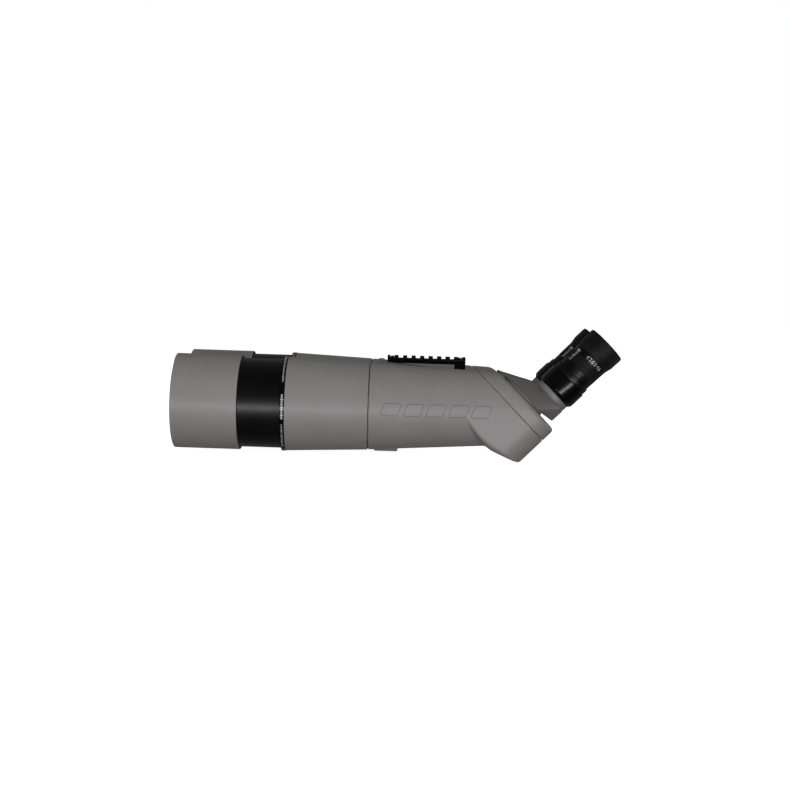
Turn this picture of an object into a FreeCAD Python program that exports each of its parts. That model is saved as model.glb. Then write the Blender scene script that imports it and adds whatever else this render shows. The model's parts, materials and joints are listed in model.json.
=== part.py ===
import FreeCAD, Part
import math
import os
import re
import Sketcher

# A large two-barrelled observing telescope with 45 degree eyepieces, in millimetres.
# Row frame: origin at the mouth of the tripod socket, +X towards the eyepieces, +Z up.
# Stations count along +X from the seam between the front tubes and the main body, and
# heights from the barrel axes. Depths count outwards from the covers' outer plane.

SIZES = {
    # the whole
    "SeamStation": -20,
    "BarrelOffset": 58,
    "AxisHeight": 54,
    "Tilt": 45,
    "RunClear": 0.06,
    "FaceGap": 0.3,
    "EdgeBreak": 0.5,
    # sliding dew shields
    "ShieldFront": -218.1,
    "ShieldRear": -144.3,
    "ShieldRadius": 53.5,
    "ShieldWall": 2.1,
    "ShieldGuide": 12,
    # objective cells and their lenses
    "CellFront": -162,
    "CellRadius": 50.3,
    "CellLip": 0.9,
    "CellMouth": 48,
    "RingFront": -97,
    "RingRear": -92.2,
    "SpigotRadius": 47.5,
    "SpigotEnd": -78,
    "CellBore": 44.5,
    "LensRadius": 43,
    "ClearAperture": 41,
    "LensSeat": -128.3,
    "SeatDepth": 4,
    "SeatEdge": 40.8,
    "FrontLensFront": -150.5,
    "FrontLensRear": -141.5,
    "MiddleLensFront": -140.5,
    "MiddleLensRear": -136,
    "RearLensFront": -135.2,
    "FrontCurve": 320,
    "InnerCurve": 300,
    "HollowCurve": 290,
    "RearCurve": 400,
    "RetainerFront": -153,
    # front tubes
    "TubeFrontRadius": 53,
    "TubeRearRadius": 49.25,
    "TubeWall": 3.4,
    "RearSpigotRadius": 45.4,
    "RearSpigotBore": 42.4,
    "RearSpigotEnd": 10,
    "BaffleThick": 1.2,
    "FrontBaffle": -64,
    "FrontBaffleRadius": 35,
    "RearBaffle": -30,
    "RearBaffleRadius": 30,
    # main body
    "BarrelRadius": 49,
    "BarrelEnd": 200,
    "BarrelEndRadius": 38.8,
    "BarrelRise": 2.4,
    "BarrelLead": 2,
    "BodyWall": 3.6,
    "BendStation": 155.6,
    "CoverFace": 24.4,
    "CoverDepth": 17.5,
    "CoverRound": 10,
    "BoxHalfWidth": 43.6,
    "BoxWall": 4,
    "ShoulderStation": 100,
    "ThroatStation": 132.4,
    "ThroatHeight": -40.6,
    "HeelStation": 171,
    "HeelHeight": -57.2,
    "BoxRound": 9,
    "HeelRound": 28,
    "CoverSpan": 100,
    "WebFront": 2,
    "WebRear": 112,
    "WebHalfWidth": 30,
    "WebTopFront": 43,
    "WebTopRear": 38,
    "WebRise": 8,
    "SpineHalfWidth": 13,
    "SpineFoot": 36,
    "SpineNose": 45.5,
    "SpineShelf": 50.6,
    "SpineTop": 52,
    "SpineLump": 13,
    "SpineFall": 60,
    # roof prisms and their cradles
    "PrismFront": 124,
    "PrismLeg": 62,
    "PrismHalfWidth": 20,
    "PrismBevel": 6,
    "CradleWall": 3,
    "CradleHalfWidth": 30,
    "CradleRise": 22,
    "CradleDrop": 28,
    "CheekLength": 28,
    "CheekRise": 20,
    "CheekDrop": 14,
    # accessory rail
    "RailFront": 18.9,
    "RailLength": 91.2,
    "RailTop": 56.5,
    "RailFloor": 53.5,
    "RailUnder": 47.9,
    "RailHalfWidth": 10.6,
    "RailHalfTop": 7.8,
    "RailHalfFoot": 8,
    "RailFootWall": 1.7,
    "RailUndercut": 2.6,
    "RailBevel": 2.8,
    "SlotPitch": 10.008,
    "SlotWidth": 5.23,
    "SlotCount": 9,
    "RailFootLength": 12.3,
    "RailFootSole": 42,
    # mounting foot and tripod socket
    "FootFront": 6,
    "FootLength": 28,
    "FootHalfWidth": 28,
    "FootTop": -46,
    "FootBevel": 1.5,
    "SocketRadius": 3.97,
    "BushRadius": 7,
    "BushLength": 14,
    # fasteners
    "ScrewRadius": 2,
    "HeadRadius": 3.5,
    "HeadHeight": 4,
    "HexRadius": 1.7,
    "RailHead": 2.5,
    "BossRadius": 7,
    "ScrewDepth": 10,
    "PillarLength": 26,
    "ShelfTop": 60,
    "ShelfFoot": 22.3,
    "FootScrewAcross": 21,
    "FootScrewIn": 5,
    "CoverScrewTop": 16,
    "CoverScrewRise": 26,
    "CoverScrewFoot": 28,
    "CoverScrewDrop": 36,
    # swinging eyepiece turrets
    "ArmLength": 36.6,
    "ArmAngle": 44.1,
    "DiscRadius": 30,
    "DiscThick": 2.5,
    "PivotRadius": 20,
    "PivotBore": 12.5,
    "PivotEnd": -17.1,
    "NutThread": 17,
    "NutRadius": 25,
    "NutThick": 3.3,
    "TurretTop": 23,
    "TurretRadius": 21.6,
    "TurretSkirt": 5.5,
    "TurretNeck": 23,
    "LightBore": 9.5,
    "RhombHalf": 9,
    # helical focusers and eyepieces, from the turret's upper face
    "CollarThick": 6.3,
    "CollarRadius": 21.2,
    "GuideRadius": 19.9,
    "GuideEnd": 26,
    "HolderRadius": 17.7,
    "HolderFront": 7.5,
    "NoseRadius": 15.88,
    "NoseFront": 9,
    "FocusRadius": 24.2,
    "FocusRear": 28.9,
    "LockRear": 36.5,
    "LockRadius": 23,
    "LockBore": 19.56,
    "BodyRear": 65.5,
    "EyeFrontRadius": 21.7,
    "EyeRearRadius": 22.35,
    "GripFront": 45,
    "GripRear": 58,
    "GripDepth": 0.8,
    "GripProud": 0.2,
    "EyeTubeRadius": 18.5,
    "EyeTubeRear": 80,
    "SleeveRadius": 19.6,
    "CupRear": 89.3,
    "CupRadius": 24,
    "CupMouth": 19.5,
    "CupFlare": 8,
    "CupLip": 0.8,
    "FieldBore": 14.4,
    "MidLensRadius": 17.5,
    "EyeLensRadius": 15,
    "EyepieceCurve": 60,
}

SIDES = {"left": -1, "right": 1}
V = FreeCAD.Vector
AS_DRAWN = FreeCAD.Rotation()
ALONG = FreeCAD.Rotation(V(0, 1, 0), 90)  # turns +Z to +X
UPWARD = FreeCAD.Rotation(V(0, 1, 0), -90)  # turns +X to +Z
DOWNWARD = FreeCAD.Rotation(V(0, 1, 0), 90)  # turns +X to -Z

doc = FreeCAD.newDocument("BinocularTelescope")
sheet = doc.addObject("Spreadsheet::Sheet", "Sizes")
for row, (alias, number) in enumerate(SIZES.items(), start=1):
    sheet.set(f"A{row}", alias)
    sheet.set(f"B{row}", str(number))
    sheet.setAlias(f"B{row}", alias)
doc.recompute()

nodes = []


def linked(formula):
    """A formula of aliases, with each alias written as the sheet's cell."""
    return re.sub(r"\b([A-Z][A-Za-z]+)", r"Sizes.\1", str(formula))


def value(formula):
    """The number that a formula of aliases gives."""
    result = sheet.evalExpression(linked(formula))
    return getattr(result, "Value", result)


def keep(piece, name):
    """Name a finished sub-part, which is written to a file of its own."""
    piece.Label = name
    nodes.append(piece)
    return piece


def place(piece, base, turn=AS_DRAWN):
    """Put an object at three formulas, with a fixed turn."""
    piece.Placement = FreeCAD.Placement(V(0, 0, 0), turn)
    for axis, formula in zip("xyz", base):
        piece.setExpression(f".Placement.Base.{axis}", linked(formula))
    return piece


def barrel_frame(side):
    """A barrel axis: X along it, from the seam."""
    sign = SIDES[side]
    return ("SeamStation", f"{sign} * BarrelOffset", "AxisHeight"), AS_DRAWN


def centre_frame():
    """The centre plane: X from the seam, Z from the height of the barrel axes."""
    return ("SeamStation", "0", "AxisHeight"), AS_DRAWN


def cover_frame(side):
    """A cover's outer face at the turret pivot: X outwards, -Z down the face."""
    base = (
        "SeamStation + BendStation + CoverFace * cos(Tilt)",
        f"{SIDES[side]} * BarrelOffset",
        "AxisHeight + CoverFace * sin(Tilt)",
    )
    return base, FreeCAD.Rotation(V(0, 1, 0), -value("Tilt"))


def pivot_frame(side):
    """A turret's pivot: X outwards from the cover, -Z along the turret's arm."""
    base, tilt = cover_frame(side)
    swing = FreeCAD.Rotation(V(1, 0, 0), -SIDES[side] * value("ArmAngle"))
    return base, tilt.multiply(swing)


def eyepiece_frame(side):
    """An eyepiece axis: X outwards from the turret's upper face."""
    sign = SIDES[side]
    along = "ArmLength * cos(ArmAngle)"
    base = (
        f"SeamStation + BendStation + (CoverFace + TurretTop + {along}) * cos(Tilt)",
        f"{sign} * (BarrelOffset - ArmLength * sin(ArmAngle))",
        f"AxisHeight + (CoverFace + TurretTop - {along}) * sin(Tilt)",
    )
    return base, pivot_frame(side)[1]


def new_body(name):
    return doc.addObject("PartDesign::Body", name)


def origin_plane(body, role):
    return next(f for f in body.Origin.OriginFeatures if f.Role == role)


def sketch_on(body, role, points, offset="0"):
    """A closed outline on one of the body's origin planes, each corner tied to the sheet."""
    sketch = body.newObject("Sketcher::SketchObject", "Outline")
    sketch.AttachmentSupport = [(origin_plane(body, role), "")]
    sketch.MapMode = "FlatFace"
    sketch.setExpression(".AttachmentOffset.Base.z", linked(offset))
    corners = [V(value(across), value(up), 0) for across, up in points]
    for start, end in zip(corners, corners[1:] + corners[:1]):
        sketch.addGeometry(Part.LineSegment(start, end), False)
    for index in range(len(corners)):
        following = (index + 1) % len(corners)
        sketch.addConstraint(Sketcher.Constraint("Coincident", index, 2, following, 1))
    for index, formulas in enumerate(points):
        for kind, formula in zip(("DistanceX", "DistanceY"), formulas):
            rule = Sketcher.Constraint(kind, -1, 1, index, 1, value(formula))
            number = sketch.addConstraint(rule)
            sketch.setExpression(f"Constraints[{number}]", linked(formula))
    return sketch


def turned(name, points):
    """A body turned about its X axis; points are (along, radius) formulas."""
    body = new_body(name)
    sketch = sketch_on(body, "XZ_Plane", points)
    turn = body.newObject("PartDesign::Revolution", "Turning")
    turn.Profile = sketch
    turn.ReferenceAxis = (sketch, ["H_Axis"])
    turn.Angle = 360
    return body


def padded(name, role, points, length, symmetric=True, offset="0"):
    """A body raised from an outline on one of its origin planes."""
    body = new_body(name)
    pad = body.newObject("PartDesign::Pad", "Raising")
    pad.Profile = sketch_on(body, role, points, offset)
    pad.SideType = "Symmetric" if symmetric else "One side"
    pad.setExpression("Length", linked(length))
    return body


def cylinder(name, radius, base, length, turn=ALONG):
    """A plain cylinder from the middle of its first end, along X unless turned."""
    piece = doc.addObject("Part::Cylinder", name)
    piece.setExpression("Radius", linked(radius))
    piece.setExpression("Height", linked(length))
    return place(piece, base, turn)


def ball(name, radius, centre):
    """A sphere centred on the X axis."""
    piece = doc.addObject("Part::Sphere", name)
    piece.setExpression("Radius", linked(radius))
    return place(piece, (centre, "0", "0"))


def block(name, size, corner):
    """A box from its low corner."""
    piece = doc.addObject("Part::Box", name)
    for side, formula in zip(("Length", "Width", "Height"), size):
        piece.setExpression(side, linked(formula))
    return place(piece, corner)


def fused(name, pieces):
    piece = doc.addObject("Part::MultiFuse", name)
    piece.Shapes = pieces
    return piece


def shared(name, pieces):
    piece = doc.addObject("Part::MultiCommon", name)
    piece.Shapes = pieces
    return piece


def cut(name, base, tool):
    piece = doc.addObject("Part::Cut", name)
    piece.Base = base
    piece.Tool = tool
    return piece


def grouped(name, pieces):
    """Separate solids that share one node."""
    piece = doc.addObject("Part::Compound", name)
    piece.Links = pieces
    return piece


def lofted(name, rings):
    """A solid through circles across the X axis; rings are (station, radius, height)."""
    circles = []
    for station, radius, height in rings:
        circle = doc.addObject("Part::Circle", name + "Ring")
        circle.setExpression("Radius", linked(radius))
        place(circle, (station, "0", height), ALONG)
        circles.append(circle)
    piece = doc.addObject("Part::Loft", name)
    piece.Sections = circles
    piece.Solid = True
    piece.Ruled = True
    return piece


def cap_screw(shank, head="HeadRadius", height="HeadHeight"):
    """A socket head screw along X, with its head's underside at zero and shank behind."""
    points = [
        (f"-({shank})", "0"),
        (f"-({shank})", "ScrewRadius"),
        ("0", "ScrewRadius"),
        ("0", head),
        (f"{height} - EdgeBreak", head),
        (height, f"{head} - EdgeBreak"),
        (height, "HexRadius"),
        (f"{height} / 2", "HexRadius"),
        (f"{height} / 2", "0"),
    ]
    return turned("CapScrew", points)


# --- dew shields -------------------------------------------------------------------------


def dew_shield(side):
    """A tube that slides on the objective cell, with a guide band inside its rear end."""
    bore = "(ShieldRadius - ShieldWall)"
    guide = "(CellRadius + RunClear)"
    points = [
        ("ShieldFront", bore),
        ("ShieldFront", "ShieldRadius - EdgeBreak"),
        ("ShieldFront + EdgeBreak", "ShieldRadius"),
        ("ShieldRear - EdgeBreak", "ShieldRadius"),
        ("ShieldRear", "ShieldRadius - EdgeBreak"),
        ("ShieldRear", guide),
        ("ShieldRear - ShieldGuide", guide),
        ("ShieldRear - ShieldGuide", bore),
    ]
    shield = turned("DewShield", points)
    place(shield, *barrel_frame(side))
    keep(shield, f"dew_shield_{side}")


# --- objectives --------------------------------------------------------------------------


def objective_cell(side):
    """The black cell: lip, sliding surface, spigot into the tube, and the lens pocket."""
    pocket = "(LensRadius + RunClear)"
    points = [
        ("CellFront", "CellMouth"),
        ("CellFront", "CellRadius + CellLip"),
        ("CellFront + 5", "CellRadius + CellLip"),
        ("CellFront + 5", "CellRadius"),
        ("RingFront", "CellRadius"),
        ("RingFront", "SpigotRadius"),
        ("SpigotEnd", "SpigotRadius"),
        ("SpigotEnd", "CellBore"),
        ("LensSeat + SeatDepth", "CellBore"),
        ("LensSeat + SeatDepth", "ClearAperture"),
        ("LensSeat", "ClearAperture"),
        ("LensSeat", pocket),
        ("RetainerFront", pocket),
    ]
    cell = turned("ObjectiveCell", points)
    place(cell, *barrel_frame(side))
    keep(cell, f"objective_cell_{side}")


def trim_ring(side):
    """The flush ring between the cell and the front tube."""
    points = [
        ("RingFront", "SpigotRadius"),
        ("RingFront", "ShieldRadius - EdgeBreak"),
        ("RingFront + EdgeBreak", "ShieldRadius"),
        ("RingRear - EdgeBreak", "ShieldRadius"),
        ("RingRear", "ShieldRadius - EdgeBreak"),
        ("RingRear", "SpigotRadius"),
    ]
    ring = turned("TrimRing", points)
    place(ring, *barrel_frame(side))
    keep(ring, f"trim_ring_{side}")


def edge_sag(curve, rim="LensRadius"):
    """How far a lens face of this radius falls back at a distance from the axis."""
    return f"({curve} - sqrt(({curve})^2 - ({rim})^2))"


def lens(front, rear, front_curve, rear_curve, rim="LensRadius"):
    """One element between two vertex stations, with the radius of each face. A minus sign
    hollows the front face, or bulges the rear one."""
    front_radius = front_curve.lstrip("-")
    rear_radius = rear_curve.lstrip("-")
    hollow_front = front_curve.startswith("-")
    bulged_rear = rear_curve.startswith("-")
    start = f"{front} - {edge_sag(front_radius, rim)}" if hollow_front else front
    end = rear if bulged_rear else f"{rear} + {edge_sag(rear_radius, rim)}"
    blank = cylinder("LensBlank", rim, (start, "0", "0"), f"{end} - ({start})")
    first = ball("LensCurve", front_radius, f"{front} + ({front_curve})")
    second = ball("LensCurve", rear_radius, f"{rear} + ({rear_curve})")
    faced = cut if hollow_front else lambda name, a, b: shared(name, [a, b])
    blank = faced("LensFace", blank, first)
    if bulged_rear:
        return shared("Lens", [blank, second])
    return cut("Lens", blank, second)


def spacer(front, rear):
    points = [
        (front, "ClearAperture"),
        (front, "LensRadius"),
        (rear, "LensRadius"),
        (rear, "ClearAperture"),
    ]
    return turned("Spacer", points)


def objective(side):
    """Three air-spaced elements, two spacing rings and the threaded retaining ring. Rings
    meet a bulged face at their bore and a hollow face at its rim."""
    seat = f"LensSeat + {edge_sag('RearCurve', 'SeatEdge')}"
    elements = {
        "front": lens("FrontLensFront", "FrontLensRear", "FrontCurve", "-InnerCurve"),
        "middle": lens("MiddleLensFront", "MiddleLensRear", "-HollowCurve", "HollowCurve"),
        "rear": lens("RearLensFront", seat, "InnerCurve", "-RearCurve"),
    }
    for position, element in elements.items():
        place(element, *barrel_frame(side))
        keep(element, f"lens_{position}_{side}")
    bulge = edge_sag("InnerCurve", "SeatEdge")
    hollow = edge_sag("HollowCurve")
    first = spacer(f"FrontLensRear - {bulge}", f"MiddleLensFront - {hollow}")
    second = spacer(f"MiddleLensRear + {hollow}", f"RearLensFront + {bulge}")
    rings = grouped("Spacers", [first, second])
    place(rings, *barrel_frame(side))
    keep(rings, f"lens_spacers_{side}")
    rim = f"FrontLensFront + {edge_sag('FrontCurve', 'SeatEdge')}"
    points = [
        ("RetainerFront", "ClearAperture + 1"),
        ("RetainerFront", "LensRadius"),
        (rim, "LensRadius"),
        (rim, "ClearAperture"),
        ("RetainerFront + 2", "ClearAperture"),
    ]
    retainer = turned("LensRetainer", points)
    place(retainer, *barrel_frame(side))
    keep(retainer, f"lens_retainer_{side}")


# --- front tubes -------------------------------------------------------------------------


def tube_bore(station):
    """The front tube's inner radius at a station."""
    slope = "(TubeRearRadius - TubeFrontRadius) / (0 - RingRear)"
    return f"(TubeRearRadius - TubeWall + {slope} * ({station}))"


def front_tube(side):
    """A tapered tube on the cell's spigot, with a spigot of its own into the main body."""
    points = [
        ("RingRear", "SpigotRadius"),
        ("RingRear", "TubeFrontRadius - EdgeBreak"),
        ("RingRear + EdgeBreak", "TubeFrontRadius"),
        ("-1.3 * EdgeBreak", "TubeRearRadius"),
        ("0", "TubeRearRadius - 1.3 * EdgeBreak"),
        ("0", "RearSpigotRadius"),
        ("RearSpigotEnd", "RearSpigotRadius"),
        ("RearSpigotEnd", "RearSpigotBore"),
        ("-5", "RearSpigotBore"),
        ("-8", tube_bore("-8")),
        ("SpigotEnd + 1", tube_bore("SpigotEnd + 1")),
        ("SpigotEnd + 1", "SpigotRadius"),
    ]
    tube = turned("FrontTube", points)
    place(tube, *barrel_frame(side))
    keep(tube, f"front_tube_{side}")


def baffle(station, aperture):
    """A thin ring with a knife edge, fitting the tube's bore."""
    rear = f"({station} + BaffleThick)"
    points = [
        (station, aperture),
        (station, tube_bore(station)),
        (rear, tube_bore(rear)),
        (rear, f"{aperture} + BaffleThick"),
    ]
    return turned("Baffle", points)


def tube_baffles(side):
    rings = grouped(
        "TubeBaffles",
        [
            baffle("FrontBaffle", "FrontBaffleRadius"),
            baffle("RearBaffle", "RearBaffleRadius"),
        ],
    )
    place(rings, *barrel_frame(side))
    keep(rings, f"tube_baffles_{side}")


# --- main body and rear covers -----------------------------------------------------------

SEAM_DEPTH = "(CoverFace - CoverDepth)"
END_DEPTH = "((HeelStation - HeelHeight - BendStation) / sqrt(2))"


def tilted_block(name, near, far, high, low, half="200"):
    """A block square to the eyepiece direction, measured from where the light path bends:
    near and far count outwards along that direction, high and low down across it."""
    size = (f"{far} - ({near})", f"2 * {half}", f"{low} - ({high})")
    corner = (
        f"BendStation + ({near}) * cos(Tilt) + ({low}) * sin(Tilt)",
        f"-({half})",
        f"({near}) * sin(Tilt) - ({low}) * cos(Tilt)",
    )
    plate = block(name, size, corner)
    return place(plate, corner, FreeCAD.Rotation(V(0, 1, 0), -value("Tilt")))


def barrel_solid(inset):
    """The tapering barrel, or its bore when inset is the wall, square at both ends."""
    slope = "((BarrelRadius - BarrelEndRadius) / BarrelEnd)"
    cone = doc.addObject("Part::Cone", "BarrelTaper")
    cone.setExpression("Radius1", linked(f"BarrelRadius + {slope} * BarrelLead - {inset}"))
    cone.setExpression("Radius2", linked(f"BarrelEndRadius - {inset}"))
    cone.setExpression("Height", linked("BarrelEnd + BarrelLead"))
    lift = math.degrees(math.atan(value("BarrelRise / BarrelEnd")))
    base = ("-BarrelLead", "0", "-BarrelLead * BarrelRise / BarrelEnd")
    place(cone, base, FreeCAD.Rotation(V(0, 1, 0), 90 - lift))
    beyond = tilted_block("BeyondEnd", "-200", "200", f"{END_DEPTH} - {inset}", "200")
    before = block("BeforeSeam", ("50", "200", "200"), ("-50", "-100", "-100"))
    return cut("Barrel", cone, fused("BarrelTrim", [beyond, before]))


def box_outline(inset):
    """The prism box from the side: throat, heel and the square end under the cover."""
    fall = "((ThroatHeight - HeelHeight) / (HeelStation - ThroatStation))"
    outer = "(BendStation + sqrt(2) * CoverFace)"
    end = f"(HeelStation - HeelHeight - sqrt(2) * {inset})"
    drop = f"(ThroatHeight + {inset} * sqrt(1 + {fall}^2))"
    heel = f"({drop} + {fall} * ThroatStation + {end}) / (1 + {fall})"
    return [
        (f"ShoulderStation + {inset}", "0"),
        (outer, "0"),
        (f"({outer} + {end}) / 2", f"({outer} - {end}) / 2"),
        (heel, f"{heel} - {end}"),
        ("ThroatStation", drop),
    ]


def box_solid(inset):
    """The prism box, or the hollow inside it when inset is the wall."""
    return padded("Box", "XZ_Plane", box_outline(inset), f"2 * (BoxHalfWidth - {inset})")


def round_lower_edges(box):
    """Round the prism box's lower edges and the corners of its square end."""
    doc.recompute()
    pad = box.Tip
    outer = value("BendStation + sqrt(2) * CoverFace")
    picked = []
    for number, edge in enumerate(pad.Shape.Edges, start=1):
        ends = [vertex.Point for vertex in edge.Vertexes]
        along_flank = abs(ends[0].y - ends[1].y) < 0.01
        below = min(point.z for point in ends) < -1
        inside = min(point.x + point.z for point in ends) < outer - 1
        if along_flank and below and inside:
            picked.append(f"Edge{number}")
    fillet = box.newObject("PartDesign::Fillet", "LowerRounding")
    fillet.Base = (pad, picked)
    fillet.setExpression("Radius", linked("BoxRound"))
    return box


def heel_corners(inset):
    """What the two large roundings take off the box's square end, drawn in by inset."""
    corners = []
    for sign in SIDES.values():
        centre = f"{sign} * (BoxHalfWidth - HeelRound)"
        post_base = ("-CoverSpan", centre, f"HeelRound - {END_DEPTH}")
        post = cylinder("HeelPost", f"HeelRound - {inset}", post_base, "2 * CoverSpan")
        low = centre if sign > 0 else "-BoxHalfWidth - 1"
        size = ("2 * CoverSpan", "HeelRound + 1", "HeelRound + 1")
        waste = block("HeelWaste", size, ("-CoverSpan", low, f"-{END_DEPTH} - 1"))
        corners.append(cut("HeelCorner", waste, post))
    return along_cover(corners)


def square_housing():
    """Barrel and prism box with a nearly square end, past the cover's outer face."""
    return fused("SquareHousing", [barrel_solid("0"), round_lower_edges(box_solid("0"))])


def housing_solid():
    """One side's whole outer form, with the box's end well rounded."""
    return cut("Housing", square_housing(), heel_corners("0"))


def bridge_solid():
    """The bridge between the barrels, with the spine that carries the rail on top."""
    web = [
        ("WebFront", "FootTop"),
        ("FootFront + FootLength + 2", "FootTop"),
        ("FootFront + FootLength + 4", "FootTop + 2.5"),
        ("WebRear", "FootTop + WebRise"),
        ("WebRear", "WebTopRear"),
        ("WebFront", "WebTopFront"),
    ]
    rail_end = "RailFront + RailLength"
    spine = [
        ("WebFront + 2", "WebTopRear"),
        ("WebFront + 2", "SpineNose"),
        ("WebFront + 5", "SpineNose + 1"),
        ("WebFront + 5.6", "SpineShelf"),
        ("WebFront + 7", "SpineTop"),
        ("WebFront + SpineLump", "SpineTop"),
        ("RailFront - 1", "RailUnder"),
        ("RailFront + 8", "RailUnder"),
        ("RailFront + SpineFall", "RailFootSole - 1.5"),
        (f"{rail_end} - RailFootLength - 2", "RailFootSole"),
        (f"{rail_end} + 3", "RailFootSole"),
        (f"{rail_end} + 3", "SpineFoot"),
    ]
    web_body = padded("Web", "XZ_Plane", web, "2 * WebHalfWidth")
    spine_body = padded("Spine", "XZ_Plane", spine, "2 * SpineHalfWidth")
    return fused("Bridge", [web_body, spine_body])


def rail_screw_stations():
    middle = "RailFront + RailLength / 2"
    half_run = "SlotPitch * (SlotCount - 1) / 2"
    return [f"{middle} - {half_run}", f"{middle} + {half_run}"]


def foot_screw_places():
    stations = ("FootFront + FootScrewIn", "FootFront + FootLength - FootScrewIn")
    sides = ("-FootScrewAcross", "FootScrewAcross")
    return [(station, y) for station in stations for y in sides]


def body_holes():
    """Tapped holes for the rail and the foot, and the seat of the tripod bush."""
    holes = [
        cylinder("RailHole", "ScrewRadius", (x, "0", "RailFloor - 16"), "20", AS_DRAWN)
        for x in rail_screw_stations()
    ]
    for x, y in foot_screw_places():
        base = (x, y, "FootTop - 1")
        holes.append(cylinder("FootHole", "ScrewRadius", base, "9", AS_DRAWN))
    base = ("-SeamStation", "0", "FootTop - 1")
    holes.append(cylinder("BushSeat", "BushRadius", base, "BushLength", AS_DRAWN))
    return holes


def cover_screw_places():
    """Four screws a cover: across, up in the cover's frame, and depth in the body. The
    upper pair, under the turret's base, end in the shelf above the prism."""
    places = []
    for sign in (-1, 1):
        places.append((f"{sign} * CoverScrewTop", "CoverScrewRise", "CradleWall"))
        places.append((f"{sign} * CoverScrewFoot", "-CoverScrewDrop", "ScrewDepth"))
    return places


def along_cover(pieces):
    """Move a group drawn in the cover's frame into the main body's frame."""
    tilt = FreeCAD.Rotation(V(0, 1, 0), -value("Tilt"))
    base = ("BendStation + CoverFace * cos(Tilt)", "0", "CoverFace * sin(Tilt)")
    return place(fused("AlongCover", pieces), base, tilt)


def cover_screw_cylinders(radius, start, end):
    """One cylinder a screw; start is below the cover's outer face and counts the depth."""
    return [
        cylinder("CoverScrewSeat", radius, (start.format(depth=depth), across, up), end)
        for across, up, depth in cover_screw_places()
    ]


def cover_seats():
    """The shelf and pillars that take the cover's screws, tapped, inside one housing."""
    shelf = tilted_block(
        "Shelf", f"{SEAM_DEPTH} - CradleWall", SEAM_DEPTH, "-ShelfTop", "-ShelfFoot"
    )
    pillars = [
        cylinder(
            "Pillar", "BossRadius", ("-CoverDepth - PillarLength", across, up), "PillarLength"
        )
        for across, up, depth in cover_screw_places()
        if depth == "ScrewDepth"
    ]
    seats = fused("SeatSolid", [shelf, along_cover(pillars)])
    holes = cover_screw_cylinders("ScrewRadius", "-CoverDepth - {depth}", "ScrewDepth + 1")
    return shared("Seats", [cut("TappedSeats", seats, along_cover(holes)), housing_solid()])


def main_body():
    """One casting: two barrels with their prism boxes, joined by the bridge."""
    outer = []
    hollow = []
    bosses = []
    for sign in SIDES.values():
        offset = ("0", f"{sign} * BarrelOffset", "0")
        shell = housing_solid()
        beyond = tilted_block("BeyondSeam", SEAM_DEPTH, "200", "-200", "200")
        outer.append(place(cut("Shell", shell, beyond), offset))
        bore = barrel_solid("BodyWall")
        mouth = cylinder("Mouth", "RearSpigotRadius", ("-1", "0", "0"), "RearSpigotEnd + 1")
        box = cut("BoxBore", box_solid("BoxWall"), heel_corners("BoxWall"))
        inside = fused("Inside", [bore, mouth, box])
        hollow.append(place(inside, offset))
        bosses.append(place(cover_seats(), offset))
    solid = fused("BodySolid", outer + [bridge_solid()])
    shell = cut("Casting", solid, fused("BodyHollow", hollow + body_holes()))
    casting = fused("MainBody", [shell] + bosses)
    place(casting, *centre_frame())
    keep(casting, "main_body")


def rear_cover(side):
    """The slab over the prism box, rounded outside, with the turret's pivot bore."""
    plate = tilted_block("CoverSlab", SEAM_DEPTH, "CoverFace", "-200", "200")
    blank = shared("CoverBlank", [square_housing(), plate])
    doc.recompute()
    outer = value("BendStation + sqrt(2) * CoverFace")
    rims = []
    for number, edge in enumerate(blank.Shape.Edges, start=1):
        middle = edge.valueAt((edge.FirstParameter + edge.LastParameter) / 2)
        if abs(middle.x + middle.z - outer) < 0.01:
            rims.append((number, value("CoverRound"), value("CoverRound")))
    rounded = doc.addObject("Part::Fillet", "CoverRounding")
    rounded.Base = blank
    rounded.Edges = rims
    pivot = "PivotRadius + RunClear"
    recess = "NutRadius + FaceGap"
    tools = [
        cylinder("PivotHole", pivot, ("-CoverDepth - 1", "0", "0"), "CoverDepth + 2"),
        cylinder("NutRecess", recess, ("-CoverDepth - 1", "0", "0"), "NutThick + 1.7"),
    ]
    tools += cover_screw_cylinders("ScrewRadius", "-CoverDepth - 1", "CoverDepth + 2")
    tools += cover_screw_cylinders("HeadRadius + FaceGap", "-HeadHeight - 1", "20")
    waste = fused("CoverWaste", [along_cover(tools), heel_corners("0")])
    cover = cut("RearCover", rounded, waste)
    place(cover, *barrel_frame(side))
    keep(cover, f"rear_cover_{side}")


def cover_screws(side):
    screws = []
    for across, up, depth in cover_screw_places():
        screw = cap_screw(f"CoverDepth - HeadHeight - 1 + {depth}")
        screws.append(place(screw, ("-HeadHeight - 1", across, up)))
    group = grouped("CoverScrews", screws)
    place(group, *cover_frame(side))
    keep(group, f"cover_screws_{side}")


# --- roof prisms -------------------------------------------------------------------------


def roof_prism(side):
    """A 45 degree prism: upright front face, and exit face under the cover."""
    exit_sum = f"(BendStation + sqrt(2) * ({SEAM_DEPTH} - CradleWall))"
    apex = f"({exit_sum} - PrismFront)"

    def down_exit(length):
        return f"PrismFront + {length} * cos(Tilt)", f"{apex} - {length} * sin(Tilt)"

    points = [
        ("PrismFront", f"{apex} - PrismBevel"),
        down_exit("PrismBevel"),
        down_exit("PrismLeg"),
        ("PrismFront", f"{apex} - PrismLeg"),
    ]
    prism = padded("RoofPrism", "XZ_Plane", points, "2 * PrismHalfWidth")
    place(prism, *barrel_frame(side))
    keep(prism, f"roof_prism_{side}")


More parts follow.
